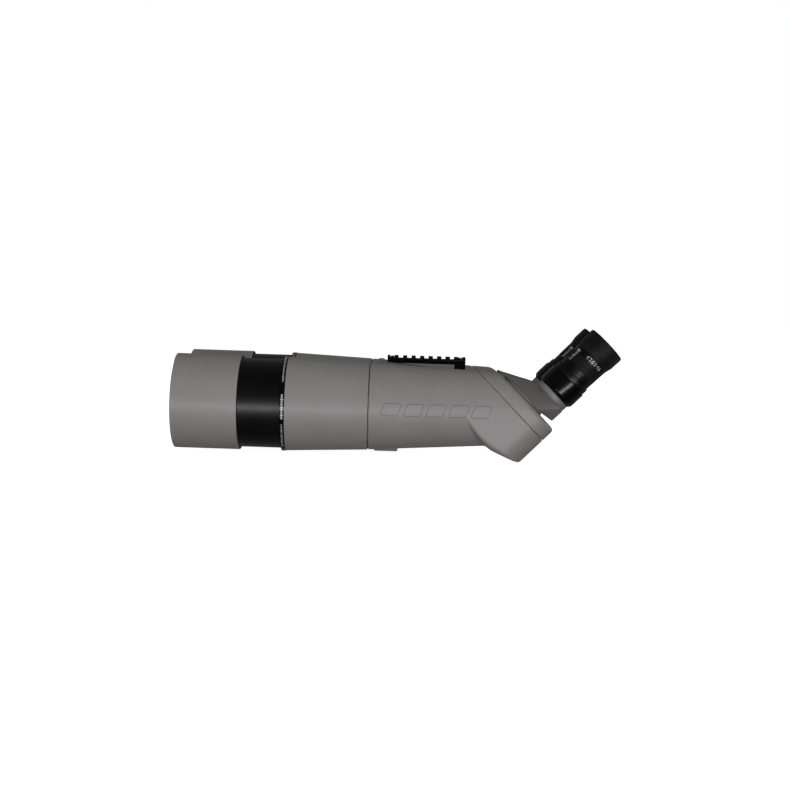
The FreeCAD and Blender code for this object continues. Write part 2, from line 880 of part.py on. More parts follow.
def prism_cradle(side):
    """A plate under the cover with two cheeks that hold the prism."""
    floor_depth = f"({SEAM_DEPTH} - CradleWall)"
    width = "(PrismHalfWidth + CradleWall)"
    near = f"{floor_depth} - CheekLength"
    floor = tilted_block(
        "Floor", floor_depth, SEAM_DEPTH, "-CradleRise", "CradleDrop", "CradleHalfWidth"
    )
    cheeks = tilted_block("Cheeks", near, floor_depth, "-CheekRise", "CheekDrop", width)
    gap = tilted_block("Gap", "-60", floor_depth, "-60", "60", "PrismHalfWidth")
    base = ("BendStation", "0", "0")
    tilt = FreeCAD.Rotation(V(0, 1, 0), 90 - value("Tilt"))
    window = cylinder("Window", "PivotBore", base, "40", tilt)
    solid = fused("CradleSolid", [floor, cheeks])
    cradle = cut("PrismCradle", solid, fused("CradleHollow", [gap, window]))
    place(cradle, *barrel_frame(side))
    keep(cradle, f"prism_cradle_{side}")


# --- accessory rail ----------------------------------------------------------------------


def accessory_rail():
    """A dovetail rail with cross slots and a foot under its rear end."""
    half = [
        ("RailHalfFoot", "RailUnder"),
        ("RailHalfFoot", "RailUnder + RailFootWall"),
        ("RailHalfWidth", "RailUnder + RailFootWall + RailUndercut"),
        ("RailHalfWidth", "RailTop - RailBevel"),
        ("RailHalfTop", "RailTop"),
    ]
    section = half + [(f"-{across}", up) for across, up in reversed(half)]
    bar = padded("RailBar", "YZ_Plane", section, "RailLength", False, "RailFront")
    size = ("RailFootLength", "2 * RailHalfFoot", "RailUnder - RailFootSole")
    base = ("RailFront + RailLength - RailFootLength", "-RailHalfFoot", "RailFootSole")
    solid = fused("RailSolid", [bar, block("RailFoot", size, base)])
    tools = []
    for index in range(int(value("SlotCount"))):
        middle = f"RailFront + RailLength / 2 + ({index} - (SlotCount - 1) / 2) * SlotPitch"
        size = ("SlotWidth", "40", "10")
        tools.append(block("Slot", size, (f"{middle} - SlotWidth / 2", "-20", "RailFloor")))
    for station in rail_screw_stations():
        base = (station, "0", "RailFootSole - 1")
        tools.append(cylinder("RailBore", "ScrewRadius", base, "20", AS_DRAWN))
    rail = cut("AccessoryRail", solid, fused("RailTools", tools))
    place(rail, *centre_frame())
    keep(rail, "accessory_rail")


def rail_screws():
    screws = [
        place(cap_screw("15", "RailHead", "2.4"), (station, "0", "RailFloor"), UPWARD)
        for station in rail_screw_stations()
    ]
    group = grouped("RailScrews", screws)
    place(group, *centre_frame())
    keep(group, "rail_screws")


# --- mounting foot -----------------------------------------------------------------------


def mounting_foot():
    """The pad under the bridge, with its bush seat and screw counterbores."""
    sole = "-AxisHeight"
    points = [
        ("FootFront", f"{sole} + FootBevel"),
        ("FootFront + FootBevel", sole),
        ("FootFront + FootLength - FootBevel", sole),
        ("FootFront + FootLength", f"{sole} + FootBevel"),
        ("FootFront + FootLength", "FootTop"),
        ("FootFront", "FootTop"),
    ]
    pad = padded("FootPad", "XZ_Plane", points, "2 * FootHalfWidth")
    base = ("-SeamStation", "0", f"{sole} - 1")
    tools = [cylinder("BushHole", "BushRadius", base, "20", AS_DRAWN)]
    for x, y in foot_screw_places():
        tools.append(cylinder("FootBore", "ScrewRadius", (x, y, f"{sole} - 1"), "20", AS_DRAWN))
        depth = "HeadHeight + 1.5"
        tools.append(cylinder("FootSink", "HeadRadius", (x, y, f"{sole} - 1"), depth, AS_DRAWN))
    foot = cut("MountingFoot", pad, fused("FootTools", tools))
    place(foot, *centre_frame())
    keep(foot, "mounting_foot")


def tripod_bush():
    """The threaded steel bush, with its mouth at the foot's sole."""
    points = [
        ("0", "SocketRadius"),
        ("0", "BushRadius"),
        ("BushLength", "BushRadius"),
        ("BushLength", "SocketRadius"),
    ]
    bush = turned("TripodBush", points)
    place(bush, ("0", "0", "0"), UPWARD)
    keep(bush, "tripod_bush")


def foot_screws():
    screws = [
        place(cap_screw("9"), (x, y, "0.5 + HeadHeight - AxisHeight"), DOWNWARD)
        for x, y in foot_screw_places()
    ]
    group = grouped("FootScrews", screws)
    place(group, *centre_frame())
    keep(group, "foot_screws")


# --- turrets -----------------------------------------------------------------------------


def turret_base(side):
    """The turret's round base and hollow pivot, which turns in the cover."""
    points = [
        ("PivotEnd", "PivotBore"),
        ("PivotEnd", "NutThread"),
        ("PivotEnd + NutThick", "NutThread"),
        ("PivotEnd + NutThick", "PivotRadius"),
        ("FaceGap", "PivotRadius"),
        ("FaceGap", "DiscRadius"),
        ("DiscThick", "DiscRadius"),
        ("DiscThick", "PivotBore"),
    ]
    base = turned("TurretBase", points)
    place(base, *pivot_frame(side))
    keep(base, f"turret_base_{side}")


def pivot_nut(side):
    """The ring nut that holds the pivot from inside the cover."""
    points = [
        ("PivotEnd", "NutThread"),
        ("PivotEnd", "NutRadius"),
        ("PivotEnd + NutThick", "NutRadius"),
        ("PivotEnd + NutThick", "NutThread"),
    ]
    nut = turned("PivotNut", points)
    place(nut, *pivot_frame(side))
    keep(nut, f"pivot_nut_{side}")


def rhomb_outline(slack):
    """The rhomboid prism from the side: in over the pivot, out under the eyepiece."""
    top = "(DiscThick + 2 * RhombHalf)"
    return [
        ("DiscThick", f"RhombHalf + {slack}"),
        (f"{top} + {slack}", f"-RhombHalf + {slack}"),
        (f"{top} + {slack}", f"-ArmLength - RhombHalf - {slack}"),
        ("DiscThick", f"-ArmLength + RhombHalf - {slack}"),
    ]


def rhomboid_prism(side):
    prism = padded("RhomboidPrism", "XZ_Plane", rhomb_outline("0"), "2 * RhombHalf")
    place(prism, *pivot_frame(side))
    keep(prism, f"rhomboid_prism_{side}")


def turret_housing(side):
    """The slanting cover of the rhomboid prism, from the round base to the focuser."""
    base_ring = ("DiscThick", "DiscRadius", "0")
    foot_ring = ("DiscThick", "DiscRadius - 0.6", "0")
    neck_ring = ("TurretTop - 2.5", "TurretRadius", "-TurretNeck")
    top_ring = ("TurretTop", "TurretRadius - 6", "-TurretNeck - 6")
    skirt_ring = ("TurretSkirt + 0.4", "TurretRadius - 0.4", "-ArmLength")
    size = ("TurretTop - TurretSkirt - 5", "2 * TurretRadius - 1", "ArmLength - TurretNeck")
    corner = ("TurretSkirt + 2", "0.5 - TurretRadius", "-ArmLength")
    tower = ("TurretSkirt", "0", "-ArmLength")
    forms = [
        lofted("Roof", [base_ring, neck_ring]),
        lofted("RoofTop", [neck_ring, top_ring]),
        lofted("Skirt", [foot_ring, skirt_ring]),
        block("Neck", size, corner),
        cylinder("Tower", "TurretRadius", tower, "TurretTop - TurretSkirt"),
    ]
    cavity_width = "2 * RhombHalf + 2 * FaceGap"
    cavity = padded("RhombCavity", "XZ_Plane", rhomb_outline("FaceGap"), cavity_width)
    light = cylinder("LightBore", "LightBore", ("TurretSkirt", "0", "-ArmLength"), "30")
    housing = cut("TurretHousing", fused("TurretForm", forms), fused("Inner", [cavity, light]))
    place(housing, *pivot_frame(side))
    keep(housing, f"turret_housing_{side}")


# --- helical focusers --------------------------------------------------------------------


def focus_collar(side):
    """The fixed collar and guide tube on the turret."""
    holder_bore = "HolderRadius + RunClear"
    points = [
        ("0", "NoseRadius + FaceGap"),
        ("0", "CollarRadius"),
        ("CollarThick", "CollarRadius"),
        ("CollarThick", "GuideRadius"),
        ("GuideEnd", "GuideRadius"),
        ("GuideEnd", holder_bore),
        ("HolderFront - FaceGap", holder_bore),
        ("HolderFront - FaceGap", "NoseRadius + FaceGap"),
    ]
    collar = turned("FocusCollar", points)
    place(collar, *eyepiece_frame(side))
    keep(collar, f"focus_collar_{side}")


def focus_ring(side):
    """The wide knurled ring that turns on the guide tube and drives the holder."""
    front = "CollarThick + FaceGap"
    bore = "GuideRadius + RunClear"
    points = [
        (front, bore),
        (front, "FocusRadius - 2.7"),
        ("CollarThick + 4.1", "FocusRadius"),
        ("FocusRear - EdgeBreak", "FocusRadius"),
        ("FocusRear", "FocusRadius - EdgeBreak"),
        ("FocusRear", bore),
    ]
    ring = turned("FocusRing", points)
    place(ring, *eyepiece_frame(side))
    keep(ring, f"focus_ring_{side}")


def eyepiece_holder(side):
    """The sliding tube that the eyepiece's nose sits in, with the split head on top."""
    bore = "NoseRadius + RunClear"
    points = [
        ("HolderFront", bore),
        ("HolderFront", "HolderRadius"),
        ("FocusRear + FaceGap", "HolderRadius"),
        ("FocusRear + FaceGap", "LockBore - RunClear"),
        ("LockRear - FaceGap", "LockBore - RunClear"),
        ("LockRear - FaceGap", bore),
    ]
    holder = turned("EyepieceHolder", points)
    place(holder, *eyepiece_frame(side))
    keep(holder, f"eyepiece_holder_{side}")


def lock_ring(side):
    """The ring that closes the holder's head on the eyepiece."""
    front = "FocusRear + FaceGap"
    points = [
        (front, "LockBore"),
        (front, "LockRadius - EdgeBreak"),
        (f"{front} + EdgeBreak", "LockRadius"),
        ("LockRear - EdgeBreak", "LockRadius"),
        ("LockRear", "LockRadius - EdgeBreak"),
        ("LockRear", "LockBore"),
    ]
    ring = turned("LockRing", points)
    place(ring, *eyepiece_frame(side))
    keep(ring, f"lock_ring_{side}")


# --- eyepieces ---------------------------------------------------------------------------

EYE_FRONT = "(LockRear + FaceGap)"


def eye_radius(station):
    """The eyepiece body's slightly flaring outside at a station."""
    share = f"(({station} - {EYE_FRONT}) / (BodyRear - {EYE_FRONT}))"
    return f"(EyeFrontRadius + (EyeRearRadius - EyeFrontRadius) * {share})"


def eyepiece_body(side):
    """Nose, flaring body with a groove for its grip, and the eyecup's inner tube."""
    points = [
        ("NoseFront", "FieldBore"),
        ("NoseFront", "NoseRadius"),
        (EYE_FRONT, "NoseRadius"),
        (EYE_FRONT, "EyeFrontRadius - EdgeBreak"),
        (f"{EYE_FRONT} + EdgeBreak", "EyeFrontRadius"),
        ("GripFront", eye_radius("GripFront")),
        ("GripFront", f"{eye_radius('GripFront')} - GripDepth"),
        ("GripRear", f"{eye_radius('GripRear')} - GripDepth"),
        ("GripRear", eye_radius("GripRear")),
        ("BodyRear", "EyeRearRadius"),
        ("BodyRear", "EyeTubeRadius"),
        ("EyeTubeRear", "EyeTubeRadius"),
        ("EyeTubeRear", "EyeLensRadius - 1.5"),
        ("EyeTubeRear - 3", "EyeLensRadius - 1.5"),
        ("EyeTubeRear - 3", "EyeLensRadius"),
        ("BodyRear - 2", "EyeLensRadius"),
        ("BodyRear - 2", "MidLensRadius"),
        (f"{EYE_FRONT} + 2", "MidLensRadius"),
        (f"{EYE_FRONT} + 2", "FieldBore"),
    ]
    body = turned("EyepieceBody", points)
    place(body, *eyepiece_frame(side))
    keep(body, f"eyepiece_body_{side}")


def eyepiece_lenses(side):
    """Field lens in the nose, the middle lens, and the eye lens under the eyecup."""
    elements = [
        lens(front, rear, "EyepieceCurve", "-EyepieceCurve", rim)
        for front, rear, rim in (
            ("NoseFront + 3", "NoseFront + 9", "FieldBore"),
            ("GripFront + 1", "GripFront + 9", "MidLensRadius"),
            ("EyeTubeRear - 10", "EyeTubeRear - 3.1", "EyeLensRadius"),
        )
    ]
    group = grouped("EyepieceLenses", elements)
    place(group, *eyepiece_frame(side))
    keep(group, f"eyepiece_lenses_{side}")


def eyepiece_grip(side):
    """The rubber band in the body's groove."""
    points = [
        ("GripFront", f"{eye_radius('GripFront')} - GripDepth"),
        ("GripFront", f"{eye_radius('GripFront')} + GripProud"),
        ("GripRear", f"{eye_radius('GripRear')} + GripProud"),
        ("GripRear", f"{eye_radius('GripRear')} - GripDepth"),
    ]
    grip = turned("EyepieceGrip", points)
    place(grip, *eyepiece_frame(side))
    keep(grip, f"eyepiece_grip_{side}")


def eyecup_sleeve(side):
    """The sleeve that the twist-up eyecup rises on."""
    front = "BodyRear + FaceGap"
    points = [
        (front, "EyeTubeRadius + RunClear"),
        (front, "SleeveRadius"),
        ("EyeTubeRear", "SleeveRadius"),
        ("EyeTubeRear", "EyeTubeRadius + RunClear"),
    ]
    sleeve = turned("EyecupSleeve", points)
    place(sleeve, *eyepiece_frame(side))
    keep(sleeve, f"eyecup_sleeve_{side}")


def eyecup(side):
    """The soft flared cup, open at the eye end."""
    front = "BodyRear + FaceGap"
    bore = "SleeveRadius + RunClear"
    floor = "EyeTubeRear + FaceGap"
    points = [
        (front, bore),
        (front, "EyeRearRadius"),
        ("BodyRear + CupFlare", "CupRadius"),
        ("CupRear - CupLip", "CupRadius"),
        ("CupRear", "CupRadius - CupLip"),
        ("CupRear", "CupMouth + 0.8"),
        ("CupRear - 1", "CupMouth"),
        (f"{floor} + 2", "EyeLensRadius + 1.5"),
        (floor, "EyeLensRadius"),
        (floor, bore),
    ]
    cup = turned("Eyecup", points)
    place(cup, *eyepiece_frame(side))
    keep(cup, f"eyecup_{side}")


# --- assembly ----------------------------------------------------------------------------


def build():
    """Make every sub-part, the paired ones once for each side."""
    main_body()
    accessory_rail()
    rail_screws()
    mounting_foot()
    tripod_bush()
    foot_screws()
    paired = (
        dew_shield, objective_cell, trim_ring, objective, front_tube, tube_baffles,
        rear_cover, cover_screws, roof_prism, prism_cradle,
        turret_base, pivot_nut, rhomboid_prism, turret_housing,
        focus_collar, focus_ring, eyepiece_holder, lock_ring,
        eyepiece_body, eyepiece_lenses, eyepiece_grip, eyecup_sleeve, eyecup,
    )
    for make in paired:
        for side in SIDES:
            make(side)
    doc.recompute()


def check():
    """Stop on a failed object or an empty or invalid sub-part."""
    failed = [item.Name for item in doc.Objects if {"Invalid", "Error"} & set(item.State)]
    if failed:
        raise RuntimeError(f"failed objects: {failed}")
    for node in nodes:
        if node.Shape.isNull() or not node.Shape.isValid() or node.Shape.Volume <= 0:
            raise RuntimeError(f"bad shape: {node.Label}")


def write():
    os.makedirs("parts", exist_ok=True)
    for node in nodes:
        node.Shape.exportStep(os.path.join("parts", node.Label + ".step"))


build()
check()
write()
print(f"{len(nodes)} sub-parts written")
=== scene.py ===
import json
import math

import bmesh
import bpy
import numpy as np
from mathutils import Matrix, Vector


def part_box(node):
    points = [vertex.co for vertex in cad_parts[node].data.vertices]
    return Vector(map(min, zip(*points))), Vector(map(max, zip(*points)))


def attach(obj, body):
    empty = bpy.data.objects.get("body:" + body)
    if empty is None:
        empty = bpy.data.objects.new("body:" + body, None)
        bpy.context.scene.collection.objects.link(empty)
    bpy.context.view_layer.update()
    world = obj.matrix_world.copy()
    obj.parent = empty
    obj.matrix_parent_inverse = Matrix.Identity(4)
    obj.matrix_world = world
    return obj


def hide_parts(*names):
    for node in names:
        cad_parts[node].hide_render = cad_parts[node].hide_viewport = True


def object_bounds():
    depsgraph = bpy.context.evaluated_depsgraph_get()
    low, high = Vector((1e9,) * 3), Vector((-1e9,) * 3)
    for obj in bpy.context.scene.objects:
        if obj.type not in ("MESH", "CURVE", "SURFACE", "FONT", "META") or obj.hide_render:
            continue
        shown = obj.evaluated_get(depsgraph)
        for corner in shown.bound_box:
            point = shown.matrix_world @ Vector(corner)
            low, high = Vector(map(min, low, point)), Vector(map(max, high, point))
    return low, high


# A large two-barrelled observing telescope with 45 degree eyepieces. Lengths are in
# millimetres, in each piece's own local frame, and MM turns them into Blender's metres.

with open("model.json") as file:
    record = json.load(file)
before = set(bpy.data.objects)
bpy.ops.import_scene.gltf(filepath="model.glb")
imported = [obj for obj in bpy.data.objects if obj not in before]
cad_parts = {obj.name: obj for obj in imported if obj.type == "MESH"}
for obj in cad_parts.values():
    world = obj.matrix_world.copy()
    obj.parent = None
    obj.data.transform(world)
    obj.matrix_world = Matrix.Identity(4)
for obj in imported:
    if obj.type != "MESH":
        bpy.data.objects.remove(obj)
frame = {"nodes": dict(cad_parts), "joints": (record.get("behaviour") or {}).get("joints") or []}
CAD_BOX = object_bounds()

MM = 0.001
SIDES = {"left": -1, "right": 1}
TURN = 2 * math.pi


# --- local frames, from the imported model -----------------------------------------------


def joint(name):
    return next(item for item in frame["joints"] if item["name"] == name)


def local_frame(origin, along, up):
    """A frame with X along a direction and Z as near as it can be to another."""
    x = Vector(along).normalized()
    z = (Vector(up) - Vector(up).dot(x) * x).normalized()
    y = z.cross(x)
    turn = Matrix((x, y, z)).transposed().to_4x4()
    return Matrix.Translation(Vector(origin)) @ turn


def middle(node):
    low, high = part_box(node)
    return (low + high) / 2


def barrel_frame(side):
    """X along the barrel from the seam between the front tube and the main body."""
    centre = middle(f"dew_shield_{side}")
    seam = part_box("main_body")[0].x
    return local_frame((seam, centre.y, centre.z), (1, 0, 0), (0, 0, 1))


def centre_frame():
    """As a barrel's frame, on the plane between the barrels."""
    place = barrel_frame("left")
    place.translation.y = 0
    return place


def pivot_frame(side):
    """X out of the cover on the turret's pivot, -Z towards the eyepiece."""
    swing = joint(f"turret_swing_{side}")
    focus = joint(f"focus_turn_{side}")
    outward = Vector(focus["axis"])
    reach = Vector(swing["pos_m"]) - Vector(focus["pos_m"])
    return local_frame(swing["pos_m"], outward, reach)


def eyepiece_frame(side):
    """X along the eyepiece from the turret's upper face, Z on its upper side."""
    focus = joint(f"focus_turn_{side}")
    return local_frame(focus["pos_m"], focus["axis"], (0, 0, 1))


# --- materials -------------------------------------------------------------------------


def linear(red, green, blue):
    """An sRGB colour in 0..255 as Blender's linear colour."""
    def lift(part):
        part /= 255
        return part / 12.92 if part <= 0.04045 else ((part + 0.055) / 1.055) ** 2.4
    return (lift(red), lift(green), lift(blue), 1)


def map_range(tree, source, start, end, low, high):
    """source from start to end, taken to low to high and held outside."""
    node = tree.nodes.new("ShaderNodeMapRange")
    limits = {"From Min": start, "From Max": end, "To Min": low, "To Max": high}
    for name, limit in limits.items():
        node.inputs[name].default_value = limit
    tree.links.new(source, node.inputs["Value"])
    return node.outputs["Result"]


class Recipe:
    """A material's node tree, with short ways to add what these surfaces share."""

    def __init__(self, name):
        self.material = bpy.data.materials.new(name)
        self.material.use_nodes = True
        self.nodes = self.material.node_tree.nodes
        self.links = self.material.node_tree.links
        self.shader = self.nodes["Principled BSDF"]
        self.coordinates = self.nodes.new("ShaderNodeTexCoord").outputs["Object"]
        self.height = None

    def set(self, **sockets):
        for name, setting in sockets.items():
            self.shader.inputs[name.replace("_", " ")].default_value = setting

    def join(self, source, target):
        self.links.new(source, target)

    def noise(self, per_mm, detail=2, stretch=(1, 1, 1), roughness=0.5):
        """Noise of so many cells a millimetre, from 0 to 1."""
        mapping = self.nodes.new("ShaderNodeMapping")
        mapping.inputs["Scale"].default_value = stretch
        self.join(self.coordinates, mapping.inputs["Vector"])
        node = self.nodes.new("ShaderNodeTexNoise")
        node.inputs["Scale"].default_value = per_mm / MM
        node.inputs["Detail"].default_value = detail
        node.inputs["Roughness"].default_value = roughness
        self.join(mapping.outputs["Vector"], node.inputs["Vector"])
        return node.outputs["Fac"]

    def specks(self, per_mm, size):
        """Sparse round specks: 1 inside one, 0 elsewhere; size is a share of a cell."""
        node = self.nodes.new("ShaderNodeTexVoronoi")
        node.inputs["Scale"].default_value = per_mm / MM
        self.join(self.coordinates, node.inputs["Vector"])
        return self.ramp(node.outputs["Distance"], size, size * 0.6)

    def ramp(self, source, start, end, low=0.0, high=1.0):
        """source from start to end, taken to low to high and held outside."""
        return map_range(self.material.node_tree, source, start, end, low, high)

    def blend(self, share, first, second):
        """A colour between two; each is a colour or another blend's output."""
        node = self.nodes.new("ShaderNodeMix")
        node.data_type = "RGBA"
        for name, colour in (("A", first), ("B", second)):
            socket = next(s for s in node.inputs if s.name == name and s.type == "RGBA")
            if isinstance(colour, tuple):
                socket.default_value = colour
            else:
                self.join(colour, socket)
        self.join(share, node.inputs["Factor"])
        return next(s for s in node.outputs if s.type == "RGBA")

    def colour(self, source):
        self.join(source, self.shader.inputs["Base Color"])

    def roughness(self, source):
        self.join(source, self.shader.inputs["Roughness"])

    def bump(self, source, depth_mm, strength=1.0):
        """Raise the surface by up to depth where source is 1; calls add up."""
        node = self.nodes.new("ShaderNodeBump")
        node.inputs["Distance"].default_value = depth_mm * MM
        node.inputs["Strength"].default_value = strength
        self.join(source, node.inputs["Height"])
        if self.height is not None:
            self.join(self.height, node.inputs["Normal"])
        self.height = node.outputs["Normal"]
        self.join(self.height, self.shader.inputs["Normal"])


def shade(colour, factor):
    """A colour made darker or lighter."""
    return tuple(part * factor for part in colour[:3]) + (1,)


def satin_paint(name, colour, dust=False):
    """Fine-grained satin paint on a casting: orange peel, faint mottling, tiny specks."""
    recipe = Recipe(name)
    cloud = recipe.ramp(recipe.noise(0.03, 4), 0.3, 0.7)
    grain = recipe.ramp(recipe.noise(1.6, 2), 0.35, 0.65)
    tone = recipe.blend(cloud, shade(colour, 0.965), shade(colour, 1.035))
    tone = recipe.blend(recipe.ramp(grain, 0, 1, 0, 0.12), tone, shade(colour, 1.25))
    if dust:
        pale = recipe.specks(0.12, 0.045)
        tone = recipe.blend(recipe.ramp(pale, 0, 1, 0, 0.45), tone, shade(colour, 2.2))
    recipe.colour(tone)
    recipe.roughness(recipe.ramp(recipe.noise(0.25, 3), 0.3, 0.7, 0.44, 0.52))
    recipe.bump(recipe.noise(1.1, 2), 0.012)
    recipe.bump(recipe.noise(0.35, 1), 0.02, 0.5)
    recipe.set(IOR=1.5, Specular_IOR_Level=0.42, Coat_Weight=0.06, Coat_Roughness=0.25)
    return recipe.material


def anodised(name, colour, low, high, turned=True):
    """Anodised aluminium with faint turning lines round the local X axis."""
    recipe = Recipe(name)
    cloud = recipe.ramp(recipe.noise(0.05, 3), 0.3, 0.7)
    recipe.colour(recipe.blend(cloud, shade(colour, 0.8), shade(colour, 1.25)))
    recipe.roughness(recipe.ramp(recipe.noise(0.4, 3), 0.3, 0.7, low, high))
    if turned:
        recipe.bump(recipe.noise(6, 1, (1, 0.004, 0.004)), 0.004, 0.6)
    recipe.bump(recipe.noise(1.5, 2), 0.0015, 0.4)
    recipe.set(Metallic=0.0, IOR=1.5, Specular_IOR_Level=0.3)
    return recipe.material


def rubber(name, colour, low, high, grain):
    """Matte moulded rubber with a fine skin texture."""
    recipe = Recipe(name)
    cloud = recipe.ramp(recipe.noise(0.12, 4), 0.25, 0.75)
    recipe.colour(recipe.blend(cloud, shade(colour, 0.8), shade(colour, 1.3)))
    recipe.roughness(recipe.ramp(recipe.noise(0.8, 3), 0.3, 0.7, low, high))
    recipe.bump(recipe.noise(2.4, 3), grain)
    recipe.set(IOR=1.45, Specular_IOR_Level=0.25, Sheen_Weight=0.02, Sheen_Roughness=0.5)
    return recipe.material


def metal(name, colour, low, high):
    """Bare machined metal."""
    recipe = Recipe(name)
    streak = recipe.ramp(recipe.noise(1.5, 3), 0.3, 0.7)
    recipe.colour(recipe.blend(streak, shade(colour, 0.85), colour))
    recipe.roughness(recipe.ramp(recipe.noise(2, 2), 0.3, 0.7, low, high))
    recipe.bump(recipe.noise(4, 1), 0.003, 0.6)
    recipe.set(Metallic=1.0)
    return recipe.material


def printed(name, colour):
    """White marking ink, a little uneven."""
    recipe = Recipe(name)
    patch = recipe.ramp(recipe.noise(1.2, 3), 0.35, 0.65)
    recipe.colour(recipe.blend(patch, shade(colour, 0.82), colour))
    recipe.roughness(recipe.ramp(recipe.noise(2, 2), 0.3, 0.7, 0.5, 0.7))
    return recipe.material


def glass(name, tint, coat):
    """Coated optical glass: clear, with a tinted reflection."""
    recipe = Recipe(name)
    cloud = recipe.ramp(recipe.noise(0.02, 2), 0.3, 0.7)
    recipe.colour(recipe.blend(cloud, tint, shade(tint, 0.97)))
    recipe.roughness(recipe.ramp(recipe.noise(0.1, 2), 0.3, 0.7, 0.0, 0.015))
    recipe.set(IOR=1.12, Transmission_Weight=1.0, Specular_Tint=coat)
    recipe.set(Coat_Weight=0.25, Coat_Roughness=0.02, Coat_Tint=coat)
    return recipe.material


BODY_GREY = linear(134, 130, 130)
PAINT = satin_paint("body_grey_paint", BODY_GREY)
SHIELD_PAINT = satin_paint("shield_grey_paint", shade(BODY_GREY, 1.01), dust=True)
# Darker copy of the body grey: painted shade for the turrets, their base discs and collars, which
# sit in shade behind the covers.
TURRET_SHADE_GREY = satin_paint("turret_grey_paint", shade(BODY_GREY, 0.72))
# Half-bright copy of the body grey: painted shade, for the side bars' outlines and for the foot
# under the body.
PAINTED_SHADE_GREY = satin_paint("painted_shade_grey", shade(BODY_GREY, 0.5))
CELL_BLACK = anodised("cell_black", linear(8, 8, 9), 0.3, 0.36)
RING_BLACK = anodised("ring_black_gloss", linear(6, 6, 7), 0.13, 0.2)
FOCUS_BLACK = anodised("focus_black_gloss", linear(6, 6, 7), 0.18, 0.22)
EYEPIECE_BLACK = anodised("eyepiece_black", linear(7, 7, 8), 0.3, 0.4)
RAIL_BLACK = anodised("rail_black", linear(11, 11, 11), 0.5, 0.6, turned=False)
# Black flocking for the bores and inner fittings; on the tubes' end faces and seam grooves it is
# painted shade.
FLOCK_AND_SHADE_BLACK = rubber("flocked_and_shade_black", linear(10, 10, 10), 0.9, 1.0, 0.05)
CUP_RUBBER = rubber("cup_rubber", linear(13, 13, 14), 0.5, 0.62, 0.02)
GRIP_RUBBER = rubber("grip_rubber", linear(13, 13, 14), 0.45, 0.58, 0.015)
BARE_EDGE = metal("bare_aluminium", linear(196, 192, 186), 0.3, 0.42)
SCREW_STEEL = metal("screw_steel", linear(196, 190, 176), 0.3, 0.4)
BLACK_STEEL = metal("black_oxide_steel", linear(52, 52, 54), 0.35, 0.45)
BRASS = metal("nut_brass", linear(176, 144, 84), 0.3, 0.4)
WHITE_INK = printed("white_ink", linear(222, 222, 220))
OBJECTIVE_GLASS = glass("objective_glass", linear(232, 244, 238), linear(120, 190, 150))
PRISM_GLASS = glass("prism_glass", linear(240, 246, 246), linear(190, 210, 230))


# --- mesh making -----------------------------------------------------------------------


def linked(name, data):
    """A new object in the scene."""
    obj = bpy.data.objects.new(name, data)
    bpy.context.scene.collection.objects.link(obj)
    return obj


def evaluated(obj):
    """An object's mesh with its modifiers applied."""
    bpy.context.view_layer.update()
    graph = bpy.context.evaluated_depsgraph_get()
    return bpy.data.meshes.new_from_object(obj.evaluated_get(graph))


def piece(name, vertices, faces, materials, body, slot, place=None, sharp=35, marks=None):
    """A new object from points in millimetres, riding on a body."""
    mesh = bpy.data.meshes.new(name)
    mesh.from_pydata([tuple(MM * c for c in point) for point in vertices], [], faces)
    return dressed(linked(name, mesh), materials, body, slot, place, sharp, marks)


def dressed(obj, materials, body, slot, place=None, sharp=35, marks=None):
    """Give an object its materials and smooth shading, and let it ride."""
    mesh = obj.data
    if place is not None:
        obj.matrix_world = place
    mesh.materials.clear()
    for material in materials:
        mesh.materials.append(material)
    if marks is not None:
        mesh.polygons.foreach_set("material_index", marks)
    mesh.polygons.foreach_set("use_smooth", [True] * len(mesh.polygons))
    mesh.set_sharp_from_angle(angle=math.radians(sharp))
    mesh.update()
    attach(obj, body)
    return obj


def eased(corners, steps=4):
    """A closed outline of (x, radius, ease) corners, each eased corner made an arc."""
    outline = []
    for index, (x, r, ease) in enumerate(corners):
        here = Vector((x, r))
        back = Vector(corners[index - 1][:2]) - here
        ahead = Vector(corners[(index + 1) % len(corners)][:2]) - here
        turn = math.pi - back.angle(ahead)
        if ease <= 0 or turn < 0.05:
            outline.append((x, r))
            continue
        cutback = min(ease * math.tan(turn / 2), 0.48 * back.length, 0.48 * ahead.length)
        start = here + back.normalized() * cutback
        end = here + ahead.normalized() * cutback
        for step in range(steps + 1):
            share = step / steps
            point = (1 - share) ** 2 * start + 2 * share * (1 - share) * here + share**2 * end
            outline.append(tuple(point))
    return outline


def lathe(name, outline, materials, body, slot, place, segments=160, relief=None,
          zone=None, sharp=35):
    """A ring from a closed outline of (x, radius) points, turned about the local X axis.
    relief(x, radius, angle) adds to the radius, and zone(x, radius) picks the material."""
    vertices = []
    for step in range(segments):
        angle = TURN * step / segments
        for x, r in outline:
            out = r + (relief(x, r, angle) if relief else 0)
            vertices.append((x, out * math.cos(angle), out * math.sin(angle)))
    count = len(outline)
    faces = []
    marks = []
    for step in range(segments):
        here, there = step * count, (step + 1) % segments * count
        for index in range(count):
            after = (index + 1) % count
            faces.append((here + index, here + after, there + after, there + index))
            x = (outline[index][0] + outline[after][0]) / 2
            r = (outline[index][1] + outline[after][1]) / 2
            marks.append(zone(x, r) if zone else 0)
    obj = piece(name, vertices, faces, materials, body, slot, place, sharp, marks)
    outward(obj)
    return obj


def outward(obj, weld=False):
    """Turn every face of a closed mesh outwards, its doubled points welded if asked."""
    shell = bmesh.new()
    shell.from_mesh(obj.data)
    if weld:
        bmesh.ops.remove_doubles(shell, verts=shell.verts, dist=0.001 * MM)
    bmesh.ops.recalc_face_normals(shell, faces=shell.faces)
    shell.to_mesh(obj.data)
    shell.free()


def runs(start, end, step):
    """Stations from start to end, about step apart."""
    count = max(1, round(abs(end - start) / step))
    return [start + (end - start) * index / count for index in range(count + 1)]


